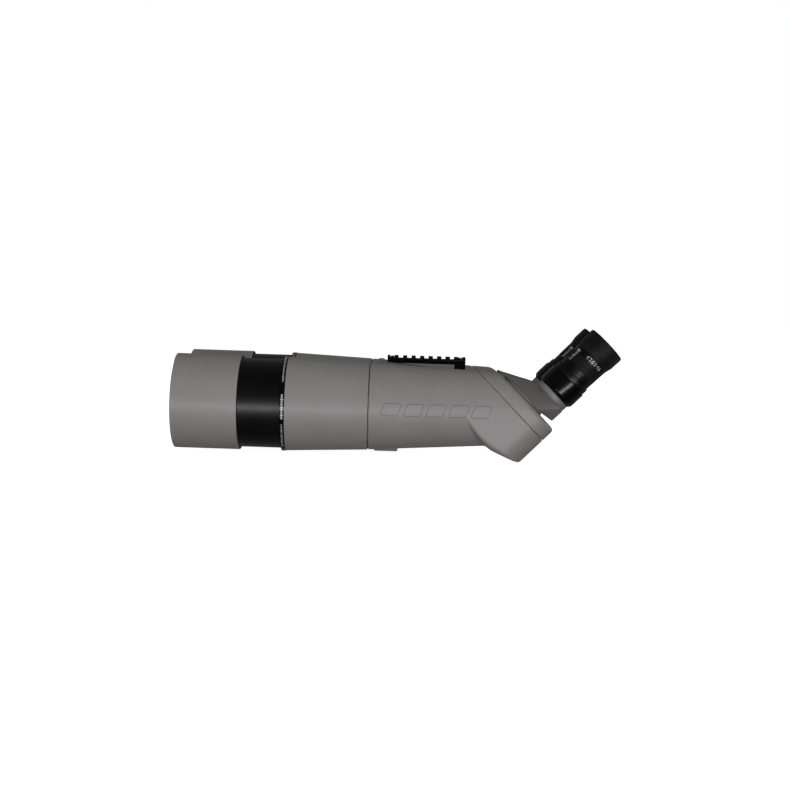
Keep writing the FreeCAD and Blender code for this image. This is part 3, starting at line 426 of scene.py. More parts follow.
def softened(node, material, body, slot, width, angle=30):
    """A CAD piece with its edges broken by small rounded bevels."""
    mesh = frame["nodes"][node].data.copy()
    obj = linked(f"{node}_eased", mesh)
    shape = bmesh.new()
    shape.from_mesh(mesh)
    bmesh.ops.remove_doubles(shape, verts=shape.verts, dist=0.002 * MM)
    bmesh.ops.dissolve_limit(
        shape, angle_limit=math.radians(1), verts=shape.verts, edges=shape.edges
    )
    edges = [
        edge for edge in shape.edges
        if len(edge.link_faces) == 2 and edge.calc_face_angle(0) > math.radians(angle)
    ]
    bmesh.ops.bevel(
        shape, geom=edges, offset=width * MM, offset_type="OFFSET", segments=2,
        profile=0.5, affect="EDGES", clamp_overlap=True,
    )
    shape.to_mesh(mesh)
    shape.free()
    dressed(obj, [material], body, slot, sharp=40)
    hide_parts(node)
    return obj


def finish_node(node, material):
    """Give a CAD piece whose shape is right a finish of its own."""
    mesh = frame["nodes"][node].data
    mesh.materials.clear()
    mesh.materials.append(material)


def reach(node, place):
    """A CAD node's start, end, smallest and largest radius in a local frame, in mm."""
    inverse = place.inverted()
    points = [inverse @ vertex.co / MM for vertex in frame["nodes"][node].data.vertices]
    radii = [math.hypot(point.y, point.z) for point in points]
    stations = [point.x for point in points]
    return min(stations), max(stations), min(radii), max(radii)


def fitted(part, side, frame_of):
    """A part's node, its local frame, and its reach there."""
    node = f"{part}_{side}"
    place = frame_of(side)
    return node, place, *reach(node, place)


def turned(node, suffix, outline, materials, body, slot, place, segments=160, **extra):
    """A lathe piece that stands in for a CAD node."""
    obj = lathe(f"{node}_{suffix}", outline, materials, body, slot, place, segments, **extra)
    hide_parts(node)


def ridged(start, end, step, radius, depth):
    """Outline points down a bore, with every second one drawn in."""
    return [
        (x, radius - (depth if index % 2 else 0))
        for index, x in enumerate(runs(start, end, step))
    ]


def bar_faces(first, count, closed):
    """Faces along a bar of four-cornered sections, from its first vertex."""
    faces = []
    for index in range(count if closed else count - 1):
        here = first + 4 * index
        there = first + 4 * ((index + 1) % count)
        for corner in range(4):
            after = (corner + 1) % 4
            faces.append((here + corner, here + after, there + after, there + corner))
    return faces


# --- the castings' form ----------------------------------------------------------------

BARREL_RADIUS = 49.0
BARREL_SLOPE = 0.051
BARREL_RISE = 0.012
BEND = 155.6
SEAM_DEPTH = 6.9
COVER_FACE = 24.4
SHOULDER = (100.0, 0.0)
THROAT = (132.4, -40.6)
HEEL = (171.0, -57.2)
CREASE_START = (109.5, -19.2)
CREASE_END = (163.0, -53.2)
HEEL_ROUND = 28.0
BODY_WALL = 3.8
ROOT2 = math.sqrt(2)


def softer(first, second, blend):
    """The larger of two distances, with the edge between them rounded."""
    share = np.clip(0.5 + 0.5 * (first - second) / blend, 0, 1)
    return first * share + second * (1 - share) + blend * share * (1 - share)


def joined(first, second, blend):
    """The smaller of two distances, with the corner between them filled."""
    return -softer(-first, -second, blend)


def below(x, z, start, end):
    """Distance outside the line from start to end, whose solid lies above it."""
    run, fall = end[0] - start[0], end[1] - start[1]
    length = math.hypot(run, fall)
    return ((x - start[0]) * fall - (z - start[1]) * run) / length


def casting(point):
    """Signed distance, in mm, of barrel and prism box up to the cover's outer face."""
    x, y, z = point[..., 0], np.abs(point[..., 1]), point[..., 2]
    rise = z - BARREL_RISE * x
    radius = BARREL_RADIUS - BARREL_SLOPE * x
    barrel = np.hypot(y, rise) - radius
    flank = y - radius
    slope = (CREASE_END[1] - CREASE_START[1]) / (CREASE_END[0] - CREASE_START[0])
    crease = CREASE_START[1] + slope * (x - CREASE_START[0])
    facet = (flank - (z - crease)) / 1.9
    box = softer(flank, facet, 2.6)
    box = softer(box, below(x, z, THROAT, HEEL), 5.0)
    box = softer(box, below(x, z, SHOULDER, THROAT), 5.0)
    box = softer(box, rise, 0.5)
    whole = joined(barrel, box, np.interp(rise, (-25, -8), (3.0, 0.05)))
    heel = (x - z - (HEEL[0] - HEEL[1])) / ROOT2 + HEEL_ROUND
    corner = np.hypot(np.maximum(flank + HEEL_ROUND, 0), np.maximum(heel, 0)) - HEEL_ROUND
    return softer(whole, corner, np.interp(heel, (0, 18), (0.01, 2.5)))


def covered(point):
    """The casting closed by the cover's outer face, which is rounded more at the top."""
    x, z = point[..., 0], point[..., 2]
    face = (x - BEND + z) / ROOT2 - COVER_FACE
    blend = np.interp(z, (-25, 10, 38), (5.0, 7.0, 5.0))
    return softer(casting(point), face, blend)


def cast_rays(form, origins, directions, far=120.0):
    """Points where rays from inside first meet the form's surface."""
    near = np.zeros(directions.shape[:-1])
    limit = np.full_like(near, far)
    for _ in range(30):
        half = (near + limit) / 2
        inside = form(origins + directions * half[..., None]) < 0
        near = np.where(inside, half, near)
        limit = np.where(inside, limit, half)
    return origins + directions * ((near + limit) / 2)[..., None]


def ring_faces(rows, count):
    """Faces between rows of points that close round, and a face over each end."""
    faces = []
    for row in range(rows - 1):
        for index in range(count):
            after = (index + 1) % count
            here, there = row * count, (row + 1) * count
            faces.append((here + index, here + after, there + after, there + index))
    faces.append(tuple(reversed(range(count))))
    faces.append(tuple((rows - 1) * count + index for index in range(count)))
    return faces


FAN_STATION = 60.0
COLUMNS = 240


def housing_rows(first, last_depth, row_step):
    """Row planes down a barrel: upright, then fanning to lie parallel to the cover."""
    sum_end = BEND + ROOT2 * last_depth
    hinge = (FAN_STATION, sum_end - FAN_STATION)
    rows = [(x, BARREL_RISE * x, 0.0) for x in runs(first, FAN_STATION, row_step * 1.6)]
    count = round(math.radians(45) * hinge[1] / row_step * 1.6)
    for index in range(1, count + 1):
        tilt = math.radians(45) * index / count
        lean = math.tan(tilt)
        x = (hinge[0] + lean * hinge[1]) / (1 + lean * BARREL_RISE)
        rows.append((x, BARREL_RISE * x, tilt))
    return rows


def skin(form, rows, inset):
    """Points of the form on each row plane; inset(row number) draws a row inwards."""
    angles = np.arange(COLUMNS) * TURN / COLUMNS
    grids = []
    for number, (x, z, tilt) in enumerate(rows):
        up = np.array((-math.sin(tilt), 0, math.cos(tilt)))
        across = np.array((0.0, 1.0, 0.0))
        directions = np.cos(angles)[:, None] * across + np.sin(angles)[:, None] * up
        origins = np.broadcast_to(np.array((x, 0.0, z)), directions.shape)
        points = cast_rays(form, origins, directions)
        grids.append(points - directions * inset(number))
    return np.array(grids)


def solid_of(name, grid, offset=0.0):
    """A closed scratch object from rows of points."""
    rows, count = grid.shape[:2]
    points = grid.reshape(-1, 3) + np.array((0, offset, 0))
    mesh = bpy.data.meshes.new(name)
    mesh.from_pydata([tuple(MM * c for c in p) for p in points], [], ring_faces(rows, count))
    obj = linked(name, mesh)
    outward(obj)
    return obj


def raised(name, outline, half_width, ease):
    """A closed scratch object: an (x, z) outline made solid across the middle plane."""
    shape = bmesh.new()
    ends = []
    for side in (-half_width, half_width):
        ends.append([shape.verts.new((x * MM, side * MM, z * MM)) for x, z in outline])
    shape.faces.new(ends[0])
    shape.faces.new(list(reversed(ends[1])))
    for index in range(len(outline)):
        after = (index + 1) % len(outline)
        shape.faces.new((ends[0][index], ends[1][index], ends[1][after], ends[0][after]))
    if ease:
        bmesh.ops.bevel(
            shape, geom=shape.edges[:], offset=ease * MM, offset_type="OFFSET",
            segments=3, profile=0.5, affect="EDGES", clamp_overlap=True,
        )
    bmesh.ops.recalc_face_normals(shape, faces=shape.faces)
    mesh = bpy.data.meshes.new(name)
    shape.to_mesh(mesh)
    shape.free()
    obj = linked(name, mesh)
    return obj


def rod(name, radius, start, end, place, segments=72):
    """A closed scratch cylinder along a local frame's X axis."""
    ring = [
        (radius * math.cos(TURN * k / segments), radius * math.sin(TURN * k / segments))
        for k in range(segments)
    ]
    points = [(x, y, z) for x in (start, end) for y, z in ring]
    grid = np.array(points).reshape(2, segments, 3)
    obj = solid_of(name, grid)
    obj.data.transform(place)
    return obj


def combine(base, others, operation):
    """Apply booleans to a scratch object and remove the tools."""
    for tool in others:
        change = base.modifiers.new(operation, "BOOLEAN")
        change.operation = operation
        change.solver = "MANIFOLD"
        change.object = tool
    mesh = evaluated(base)
    base.modifiers.clear()
    base.data = mesh
    for tool in others:
        bpy.data.objects.remove(tool)
    return base


def baked(obj, place):
    """Move a scratch object's mesh from a local frame into the row frame."""
    obj.data.transform(place)
    return obj


def seam_inset(rows, front, rear):
    """How far each row is drawn in, for the grooves at the two ends of the casting."""
    steps_front = {index: depth for index, depth in enumerate(front)}
    steps_rear = {rows - 1 - index: depth for index, depth in enumerate(rear)}
    return lambda number: steps_front.get(number, steps_rear.get(number, 0.0))


def housing(offset):
    """One barrel and prism box as a closed solid, with its bore as a second one."""
    rows = housing_rows(1.6, SEAM_DEPTH - 0.35, 1.5)
    front = [(x, 0.0, 0.0) for x in (0.0, 0.7, 0.75, 0.95, 1.25)]
    rows = front + rows + [
        (x + depth / ROOT2, z + depth / ROOT2, tilt)
        for x, z, tilt in rows[-1:] for depth in (0.02, 0.12, 0.28)
    ]
    inset = seam_inset(len(rows), (1.1, 1.1, 0.5, 0.2, 0.05), (1.2, 1.0, 0.35, 0.1))
    outer = solid_of("housing", skin(casting, rows, inset), offset)
    inner_rows = housing_rows(-1.0, SEAM_DEPTH + 1.0, 6.0)
    bore = solid_of("bore", skin(casting, inner_rows, lambda number: BODY_WALL), offset)
    return outer, bore


def main_body():
    """The casting: two housings, the bridge between them and the spine under the rail."""
    place = centre_frame()
    offset = abs(middle("dew_shield_left").y) / MM
    shells = [housing(sign * offset) for sign in SIDES.values()]
    web = [(2, -46), (36, -46), (38, -43.5), (112, -38), (112, 38), (2, 43)]
    lump = [(4, 36), (4, 45.5), (7, 46.5), (7.6, 50.6), (9, 52), (15, 52), (17.9, 47.9),
            (26.9, 47.9), (78.9, 40.5), (95.8, 42), (113.1, 42), (113.1, 36)]
    base = shells[0][0]
    tools = [shells[1][0], raised("web", web, 30, 1.0), raised("lump", lump, 13, 1.6)]
    combine(base, tools, "UNION")
    combine(base, [shells[0][1], shells[1][1]], "DIFFERENCE")
    base.name = "main_body_casting"
    baked(base, place)
    dressed(base, [PAINT], "main", "body_paint", sharp=28)
    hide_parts("main_body")


def cover_grid():
    """The rear cover: side rows, rounding and flat outer face, as rows from one point."""
    base = SEAM_DEPTH + 0.12
    origin = np.array((BEND + base / ROOT2, 0.0, base / ROOT2))
    outwards = np.array((1 / ROOT2, 0, 1 / ROOT2))
    up = np.array((-1 / ROOT2, 0, 1 / ROOT2))
    angles = np.arange(COLUMNS) * TURN / COLUMNS
    flat = np.cos(angles)[:, None] * np.array((0, 1.0, 0)) + np.sin(angles)[:, None] * up
    grids = []
    lifts = [0.0, 0.35, 0.6] + runs(1.0, 32, 1.0) + runs(35, 87, 6.5)
    for number, lift in enumerate(lifts):
        share = math.radians(lift)
        directions = math.cos(share) * flat + math.sin(share) * outwards
        points = cast_rays(covered, np.broadcast_to(origin, directions.shape), directions)
        inset = (1.2, 0.5, 0.12)[number] if number < 3 else 0.0
        grids.append(points - directions * inset)
    return np.array(grids)


COVER_SCREWS = [(-16, 26), (16, 26), (-28, -36), (28, -36)]
SCREW_SEAT = 3.8
PIVOT_BORE = 20.06
NUT_RECESS = 25.3


def rear_cover(side):
    """The cover, bored for the turret's pivot and counterbored for its four screws."""
    place = barrel_frame(side)
    pivot = pivot_frame(side)
    cover = baked(solid_of(f"rear_cover_{side}_shell", cover_grid()), place)
    square = local_frame(pivot.translation, pivot.col[0][:3], (0, 0, 1))
    tools = [
        rod("bore", PIVOT_BORE, -18.5, 2, pivot), rod("recess", NUT_RECESS, -19, -13.5, pivot)
    ]
    for across, rise in COVER_SCREWS:
        seat = square @ Matrix.Translation((0, across * MM, rise * MM))
        tools.append(rod("seat", SCREW_SEAT, -5, 15, seat, 48))
    combine(cover, tools, "DIFFERENCE")
    cover.name = f"rear_cover_{side}_shell"
    dressed(cover, [PAINT], "main", "body_paint", sharp=28)
    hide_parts(f"rear_cover_{side}")


MOTIF_START, MOTIF_BASE = 13.0, -6.0
MOTIF_BARS = 5
MOTIF_PITCH = 25.0
MOTIF_LENGTH, MOTIF_HEIGHT, MOTIF_SLANT = 19.0, 13.5, 5.0
MOTIF_ROUND = 2.6
MOTIF_LINE = 0.75


def side_motif(side):
    """A row of plain slanted bars, outlined on the barrel's outer flank."""
    place = barrel_frame(side)
    vertices, faces = [], []
    top = MOTIF_BASE + MOTIF_HEIGHT
    for bar in range(MOTIF_BARS):
        low = MOTIF_START + bar * MOTIF_PITCH
        high = low + MOTIF_SLANT
        corners = [
            (low, MOTIF_BASE), (low + MOTIF_LENGTH, MOTIF_BASE),
            (high + MOTIF_LENGTH, top), (high, top),
        ]
        path = rounded_path(corners, MOTIF_ROUND)
        add_inlay(vertices, faces, path, MOTIF_LINE, SIDES[side])
    # The outlines take the half-bright grey: painted shade standing for engraved grooves.
    obj = piece(
        f"side_motif_{side}", vertices, faces, [PAINTED_SHADE_GREY], "main", "body_paint", place
    )
    outward(obj)


def rounded_path(corners, ease, steps=5):
    """A closed path of (x, z) points through a polygon with rounded corners."""
    closed = eased([(x, z, ease) for x, z in corners], steps)
    path = []
    for index, start in enumerate(closed):
        end = closed[(index + 1) % len(closed)]
        length = math.dist(start, end)
        parts = max(1, round(length / 2.0))
        for part in range(parts):
            share = part / parts
            path.append(tuple(a + (b - a) * share for a, b in zip(start, end)))
    return path


def on_flank(stations, sign, lift):
    """Points over (x, z) stations on the barrel's outer flank, lifted out of the surface."""
    origins = np.array([(x, 0.0, z) for x, z in stations])
    hits = cast_rays(casting, origins, np.broadcast_to((0.0, 1.0, 0.0), origins.shape))
    return [(x, sign * (y + lift), z) for x, y, z in hits]


def add_inlay(vertices, faces, path, width, sign):
    """A closed band of a width along a path on the flank, a little proud of it."""
    first = len(vertices)
    count = len(path)
    edges = []
    for edge in (-1, 1):
        stations = []
        for index, (x, z) in enumerate(path):
            ahead = path[(index + 1) % count]
            behind = path[index - 1]
            run = Vector((ahead[0] - behind[0], ahead[1] - behind[1])).normalized()
            stations.append((x - edge * run.y * width / 2, z + edge * run.x * width / 2))
        low = on_flank(stations, sign, -0.3)
        high = on_flank(stations, sign, 0.03)
        edges.append((low, high))
    (low_in, high_in), (low_out, high_out) = edges
    for section in zip(low_in, high_in, high_out, low_out):
        vertices += section
    faces += bar_faces(first, count, closed=True)


# --- front end -------------------------------------------------------------------------


SHIELD_WALL = 2.1
SHIELD_GUIDE = 12.0
CELL_LIP = 0.9
CELL_SPIGOT = 47.5
CELL_BORE = 44.5
CLEAR_APERTURE = 41.0
LENS_SEAT = -128.3
LENS_POCKET = 43.06
POCKET_FRONT = -153.0


def dew_shield(side):
    """The shield: painted outside, ridged and flocked inside, bare on its rear edge."""
    node, place, start, end, bore, radius = fitted("dew_shield", side, barrel_frame)
    inner = radius - SHIELD_WALL
    guide = end - SHIELD_GUIDE
    outline = eased([
        (start, inner + 0.5, 0.3), (start, radius, 0.9), (end - 0.5, radius, 0),
        (end, radius - 0.75, 0.1), (end, bore, 0.3), (guide, bore, 0.2), (guide, inner, 0.2),
    ])
    outline += ridged(guide - 1, start + 3, 0.9, inner, 0.25)

    def zone(x, r):
        if x > end - 0.55 and r > radius - 0.8:
            return 2
        # The rear end face, against the trim ring, takes the black as painted shade in the gap.
        return 1 if r < inner + 0.3 or x > end - 0.3 else 0

    finishes = [SHIELD_PAINT, FLOCK_AND_SHADE_BLACK, BARE_EDGE]
    turned(
        node, "tube", outline, finishes, f"shield_{side}", "shield_paint", place, 256, zone=zone
    )


def objective_cell(side):
    """The black cell, with its front lip, lens pocket and stepped dark bore."""
    node, place, start, end, _, radius = fitted("objective_cell", side, barrel_frame)
    ring_front = reach(f"trim_ring_{side}", place)[0]
    slide = radius - CELL_LIP
    seat_end = LENS_SEAT + 4
    outline = eased([
        (start, 48, 0.3), (start, radius, 0.4), (start + 5, radius, 0.3), (start + 5, slide, 0.2),
        (ring_front - 0.9, slide, 0.2), (ring_front - 0.9, slide - 0.7, 0.1),
        (ring_front, slide - 0.7, 0.1), (ring_front, CELL_SPIGOT, 0.1),
        (end, CELL_SPIGOT, 0.4), (end, CELL_BORE, 0.3), (seat_end, CELL_BORE, 0.2),
        (seat_end, CLEAR_APERTURE, 0.2), (LENS_SEAT, CLEAR_APERTURE, 0.2),
        (LENS_SEAT, LENS_POCKET, 0.1), (POCKET_FRONT, LENS_POCKET, 0.2),
    ], 3)
    outline += ridged(POCKET_FRONT - 0.8, start + 1.4, 0.6, 47.2, 0.3)
    turned(node, "barrel", outline, [CELL_BLACK], "main", "black_anodised", place, 224)


def lens_retainer(side):
    """The threaded ring over the front lens, with slots for a pin spanner."""
    node, place, start, end, bore, radius = fitted("lens_retainer", side, barrel_frame)
    outline = eased([
        (start, bore + 1.2, 0.2), (start, radius, 0.3), (end, radius, 0.2), (end, bore, 0.2),
        (start + 2, bore, 0.2),
    ], 3)

    def slots(x, r, angle):
        near = abs((angle + math.pi / 4) % (math.pi / 2) - math.pi / 4) < 0.03
        return -0.9 if near and r > radius - 0.5 and x < start + 1.5 else 0

    turned(
        node, "ring", outline, [CELL_BLACK], "main", "black_anodised", place, 192, relief=slots
    )


# first and last tick, width, length
RING_TICKS = [
    (48, 79, 0.55, 2.6), (87, 103, 1.0, 3.2), (106, 126, 0.6, 2.5),
    (0, 14, 0.7, 2.6), (20, 34, 0.55, 2.4), (150, 168, 0.7, 2.6),
]
TICK_PITCH = 1.9


def trim_ring(side):
    """The gloss black ring, with groups of white ticks round it."""
    node, place, start, end, bore, radius = fitted("trim_ring", side, barrel_frame)
    band = radius - 0.06
    edge = end - 0.5
    outline = eased([
        (start, bore, 0), (start, band, 0.35), (edge, band, 0.25),
        (edge, radius - 1.1, 0.1), (end, radius - 1.1, 0), (end, bore, 0),
    ])
    turned(node, "band", outline, [RING_BLACK], "main", "ring_black", place, 224)
    dashes = []
    for first, last, size, long in RING_TICKS:
        for number in range(first, last):
            tall = long if number % 5 == 0 else long * 0.62
            dashes.append(((start + edge) / 2, math.radians(number * TICK_PITCH), tall, size))
    tick_marks(f"{node}_ticks", dashes, radius - 0.05, "main", "ring_black", place)


def tick_marks(name, dashes, radius, body, slot, place, taper=None):
    """Thin printed dashes on a turned surface: (station, angle, length along, width)."""
    vertices, faces = [], []
    for x, angle, long, wide in dashes:
        first = len(vertices)
        base = taper(x) if taper else radius
        steps = max(1, round(wide / 0.8))
        for step in range(steps + 1):
            turn = angle + (step / steps - 0.5) * wide / base
            for along, lift in ((-0.5, -0.2), (-0.5, 0.02), (0.5, 0.02), (0.5, -0.2)):
                r = base + lift
                vertices.append((x + along * long, r * math.cos(turn), r * math.sin(turn)))
        faces += bar_faces(first, steps + 1, closed=False)
        last = first + 4 * steps
        faces.append((first, first + 1, first + 2, first + 3))
        faces.append((last, last + 3, last + 2, last + 1))
    outward(piece(name, vertices, faces, [WHITE_INK], body, slot, place))


def front_tube(side):
    """The tapering tube, with small shadow gaps at both its ends."""
    node = f"front_tube_{side}"
    place = barrel_frame(side)
    ring_rear = reach(f"trim_ring_{side}", place)[1]
    spigot_end = reach(node, place)[1]
    front, rear = 53.0, 49.25
    outline = eased([
        (ring_rear, CELL_SPIGOT, 0), (ring_rear, front, 0.45), (-0.75, rear, 0.3),
        (-0.65, rear - 0.9, 0.1), (0, rear - 0.9, 0), (0, 45.4, 0),
        (spigot_end, 45.4, 0.4), (spigot_end, 42.4, 0.3), (-5, 42.4, 0.5),
        (-8, 46.1, 0.5), (-77, 48.7, 0), (-77, CELL_SPIGOT, 0),
    ])

    def zone(x, r):
        slope = (front - rear) / ring_rear
        # The groove at the rear seam and the end face at the front take the black: painted shade
        # in the gaps.
        return 0 if r > rear + slope * x - 0.6 and x <= 0 else 1

    finishes = [PAINT, FLOCK_AND_SHADE_BLACK]
    turned(node, "shell", outline, finishes, "main", "body_paint", place, 256, zone=zone)


def optics(side):
    """The glass and the dark fittings that show through it keep their CAD shapes."""
    for position in ("front", "middle", "rear"):
        finish_node(f"lens_{position}_{side}", OBJECTIVE_GLASS)
    for node in ("roof_prism", "rhomboid_prism", "eyepiece_lenses"):
        finish_node(f"{node}_{side}", PRISM_GLASS)
    for node in ("lens_spacers", "tube_baffles", "prism_cradle"):
        finish_node(f"{node}_{side}", FLOCK_AND_SHADE_BLACK)
    finish_node(f"pivot_nut_{side}", BRASS)


# --- turrets ---------------------------------------------------------------------------

TURRET_TOP = 23.0
TURRET_FOOT = 2.8
TURRET_SKIRT = 6.0
TURRET_RADIUS = 21.6
DISC_RADIUS = 30.0
DISC_TOP = 2.5
ROOF_RADIUS = 29.4
NUT_THICKNESS = 3.3
GUIDE_RADIUS, GUIDE_BORE = 19.9, 17.76
LIGHT_BORE = 9.5


def turret_slice(level, arm, trim):
    """Two discs (centre along -Z, radius) whose hull is the turret's slice at a level."""
    rise = (level - TURRET_FOOT) / (TURRET_TOP - TURRET_FOOT)
    roof = (-arm * rise, ROOF_RADIUS + (TURRET_RADIUS - ROOF_RADIUS) * rise - trim)
    share = min(1.0, (level - TURRET_FOOT) / (TURRET_SKIRT - TURRET_FOOT))
    tower = (-arm * share, ROOF_RADIUS + (TURRET_RADIUS - ROOF_RADIUS) * share - trim)
    return roof, tower


def turret_levels():
    """Slice levels and how far each is drawn in, rounding the skirt and the top edge."""
    levels = [(TURRET_FOOT - 0.25, 0.5), (TURRET_FOOT, 0.12)]
    levels += [(x, 0.0) for x in runs(TURRET_FOOT + 0.5, TURRET_SKIRT - 0.8, 0.8)]
    levels += [(TURRET_SKIRT + d, trim) for d, trim in ((-0.4, 0.02), (0, 0.2), (0.4, 0.08))]
    ease = 1.0
    levels += [(x, 0.0) for x in runs(TURRET_SKIRT + 1.0, TURRET_TOP - ease, 1.2)]
    for step in range(1, 5):
        turn = math.pi / 2 * step / 4
        levels.append((TURRET_TOP - ease + ease * math.sin(turn), ease * (1 - math.cos(turn))))
    return levels


def turret_housing(side):
    """The turret's smooth slanting shell, from the round base to the focuser."""
    place = pivot_frame(side)
    arm = (Vector(joint(f"focus_turn_{side}")["pos_m"]) - place.translation) / MM
    arm = -Vector(place.col[2][:3]).dot(arm)
    count = 160
    grid = []
    for level, trim in turret_levels():
        discs = turret_slice(level, arm, trim)
        row = []
        for step in range(count):
            angle = TURN * step / count
            out = (math.cos(angle), math.sin(angle))
            centre, radius = max(discs, key=lambda disc: disc[0] * out[1] + disc[1])
            row.append((level, radius * out[0], centre + radius * out[1]))
        grid.append(row)
    obj = baked(solid_of("turret", np.array(grid)), place)
    combine(obj, [rod("light", LIGHT_BORE, -22, 5, eyepiece_frame(side))], "DIFFERENCE")
    obj.name = f"turret_housing_{side}_shell"
    # The shell takes the darker grey: painted shade.
    dressed(obj, [TURRET_SHADE_GREY], f"turret_{side}", "turret_paint", sharp=30)
    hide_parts(f"turret_housing_{side}")


def turret_base(side):
    """The turret's round base on the cover, and its hollow pivot."""
    node, place, start, _, bore, _ = fitted("turret_base", side, pivot_frame)
    nut_end = start + NUT_THICKNESS
    outline = eased([
        (start, bore, 0.3), (start, 17, 0.3), (nut_end, 17, 0), (nut_end, 20, 0.3),
        (0.3, 20, 0), (0.3, DISC_RADIUS, 0.5), (DISC_TOP, DISC_RADIUS, 0.7),
        (DISC_TOP, bore, 0),
    ])
    # The disc takes the darker grey: painted shade.
    turned(node, "disc", outline, [TURRET_SHADE_GREY], f"turret_{side}", "turret_paint", place, 192)


def focus_collar(side):
    """The plain grey collar under the focus ring, and the guide tube inside it."""
    node, place, _, end, bore, radius = fitted("focus_collar", side, eyepiece_frame)
    outline = eased([
        (0, bore, 0), (0, radius - 0.6, 0.1), (0.5, radius - 0.6, 0.1), (0.5, radius, 0.2),
        (6.3, radius, 0.5), (6.3, GUIDE_RADIUS, 0), (end, GUIDE_RADIUS, 0.3),
        (end, GUIDE_BORE, 0.3), (7.2, GUIDE_BORE, 0), (7.2, bore, 0),
    ])
    # The collar takes the darker grey: painted shade.
    turned(node, "ring", outline, [TURRET_SHADE_GREY], f"turret_{side}", "turret_paint", place, 176)


# --- focusers and eyepieces ------------------------------------------------------------


def focus_ring(side):
    """The wide black ring with its long polished front bevel."""
    node, place, start, end, bore, radius = fitted("focus_ring", side, eyepiece_frame)
    outline = eased([
        (start, bore, 0.1), (start, radius - 2.7, 0.3), (start + 3.8, radius, 0.7),
        (end, radius, 0.45), (end, bore, 0.2),
    ], 6)
    turned(node, "sleeve", outline, [FOCUS_BLACK], f"focus_{side}", "ring_black", place, 192)


def eyepiece_holder(side):
    """The sliding tube round the eyepiece's nose, with its wider head."""
    node, place, start, end, bore, radius = fitted("eyepiece_holder", side, eyepiece_frame)
    outline = eased([
        (start, bore, 0.3), (start, 17.7, 0.4), (29.2, 17.7, 0.3), (29.2, radius, 0.3),
        (end, radius, 0.3), (end, bore, 0.3),
    ])
    turned(node, "tube", outline, [CELL_BLACK], f"holder_{side}", "eyepiece_black", place, 144)


def lock_ring(side):
    """The ring behind the focus ring that clamps the eyepiece, with a small groove."""
    node, place, start, end, bore, radius = fitted("lock_ring", side, eyepiece_frame)
    groove = radius - 0.35
    outline = eased([
        (start, bore, 0.1), (start, radius, 0.5), (end - 1.3, radius, 0.1),
        (end - 1.2, groove, 0.1), (end - 0.9, groove, 0.1), (end - 0.8, radius, 0.1),
        (end, radius, 0.5), (end, bore, 0.1),
    ])
    turned(node, "band", outline, [EYEPIECE_BLACK], f"lock_{side}", "ring_black", place, 176)


NOSE_RADIUS = 15.88
EYE_FRONT, EYE_FRONT_RADIUS = 36.8, 21.7
EYE_REAR, EYE_REAR_RADIUS = 65.5, 22.35
GRIP_START = 45.0
GRIP_END = 58.0
GRIP_DEPTH = 0.8


def eye_radius(x):
    """The eyepiece body's flaring radius at a station."""
    share = (x - EYE_FRONT) / (EYE_REAR - EYE_FRONT)
    return EYE_FRONT_RADIUS + (EYE_REAR_RADIUS - EYE_FRONT_RADIUS) * share


def eyepiece_body(side):
    """The eyepiece: nose, flaring body, and white scale marks near the eyecup."""
    node, place, start, end, bore, _ = fitted("eyepiece_body", side, eyepiece_frame)
    groove = eye_radius(41.2) - 0.25
    outline = eased([
        (start, bore, 0.3), (start, NOSE_RADIUS, 0.5), (EYE_FRONT, NOSE_RADIUS, 0.2),
        (EYE_FRONT, EYE_FRONT_RADIUS, 0.5), (41.2, eye_radius(41.2), 0.05),
        (41.35, groove, 0.05), (41.65, groove, 0.05), (41.8, eye_radius(41.8), 0.05),
        (GRIP_START, eye_radius(GRIP_START), 0.1),
        (GRIP_START, eye_radius(GRIP_START) - GRIP_DEPTH, 0),
        (GRIP_END, eye_radius(GRIP_END) - GRIP_DEPTH, 0), (GRIP_END, eye_radius(GRIP_END), 0.1),
        (EYE_REAR, EYE_REAR_RADIUS, 0.3), (EYE_REAR, 18.5, 0), (end, 18.5, 0.4),
        (end, 13.5, 0.4), (77, 13.5, 0), (77, 15, 0), (63.5, 15, 0), (63.5, 17.5, 0),
        (EYE_FRONT + 2, 17.5, 0), (EYE_FRONT + 2, bore, 0),
    ])
    body = f"eyepiece_{side}"
    turned(node, "shell", outline, [EYEPIECE_BLACK], body, "eyepiece_black", place, 176)
    scale_marks(side, place)


SCALE_ANGLE = 122.0
DIGIT_ANGLE = 162.0
DIGIT_PITCH = 10.5
DIGIT_STATION = 61.6
DIGIT_SIZE = 5.8


def scale_marks(side, place):
    """White ink: a ladder of short dashes, a small block over it, and a ring of digits."""
    ladder = math.radians(SCALE_ANGLE)
    dashes = []
    for step in range(9):
        wide = 4.4 if step % 4 == 0 else 3.0
        turn = ladder + (4.4 - wide) / 2 / 22
        dashes.append((46.2 + step * 1.5, turn, 0.42, wide))
    for step in range(5):
        dashes.append((61.0, ladder - 0.09 + step * 0.045, 2.6, 0.6))
    tick_marks(
        f"eyepiece_scale_{side}", dashes, 0, f"eyepiece_{side}", "eyepiece_black", place,
        lambda x: eye_radius(x) + (0.25 if GRIP_START < x < GRIP_END else 0),
    )
    for index, digit in enumerate("420246"):
        angle = math.radians(DIGIT_ANGLE + index * DIGIT_PITCH)
        dial_digit(f"eyepiece_digit_{side}_{index}", digit, angle, side, place)


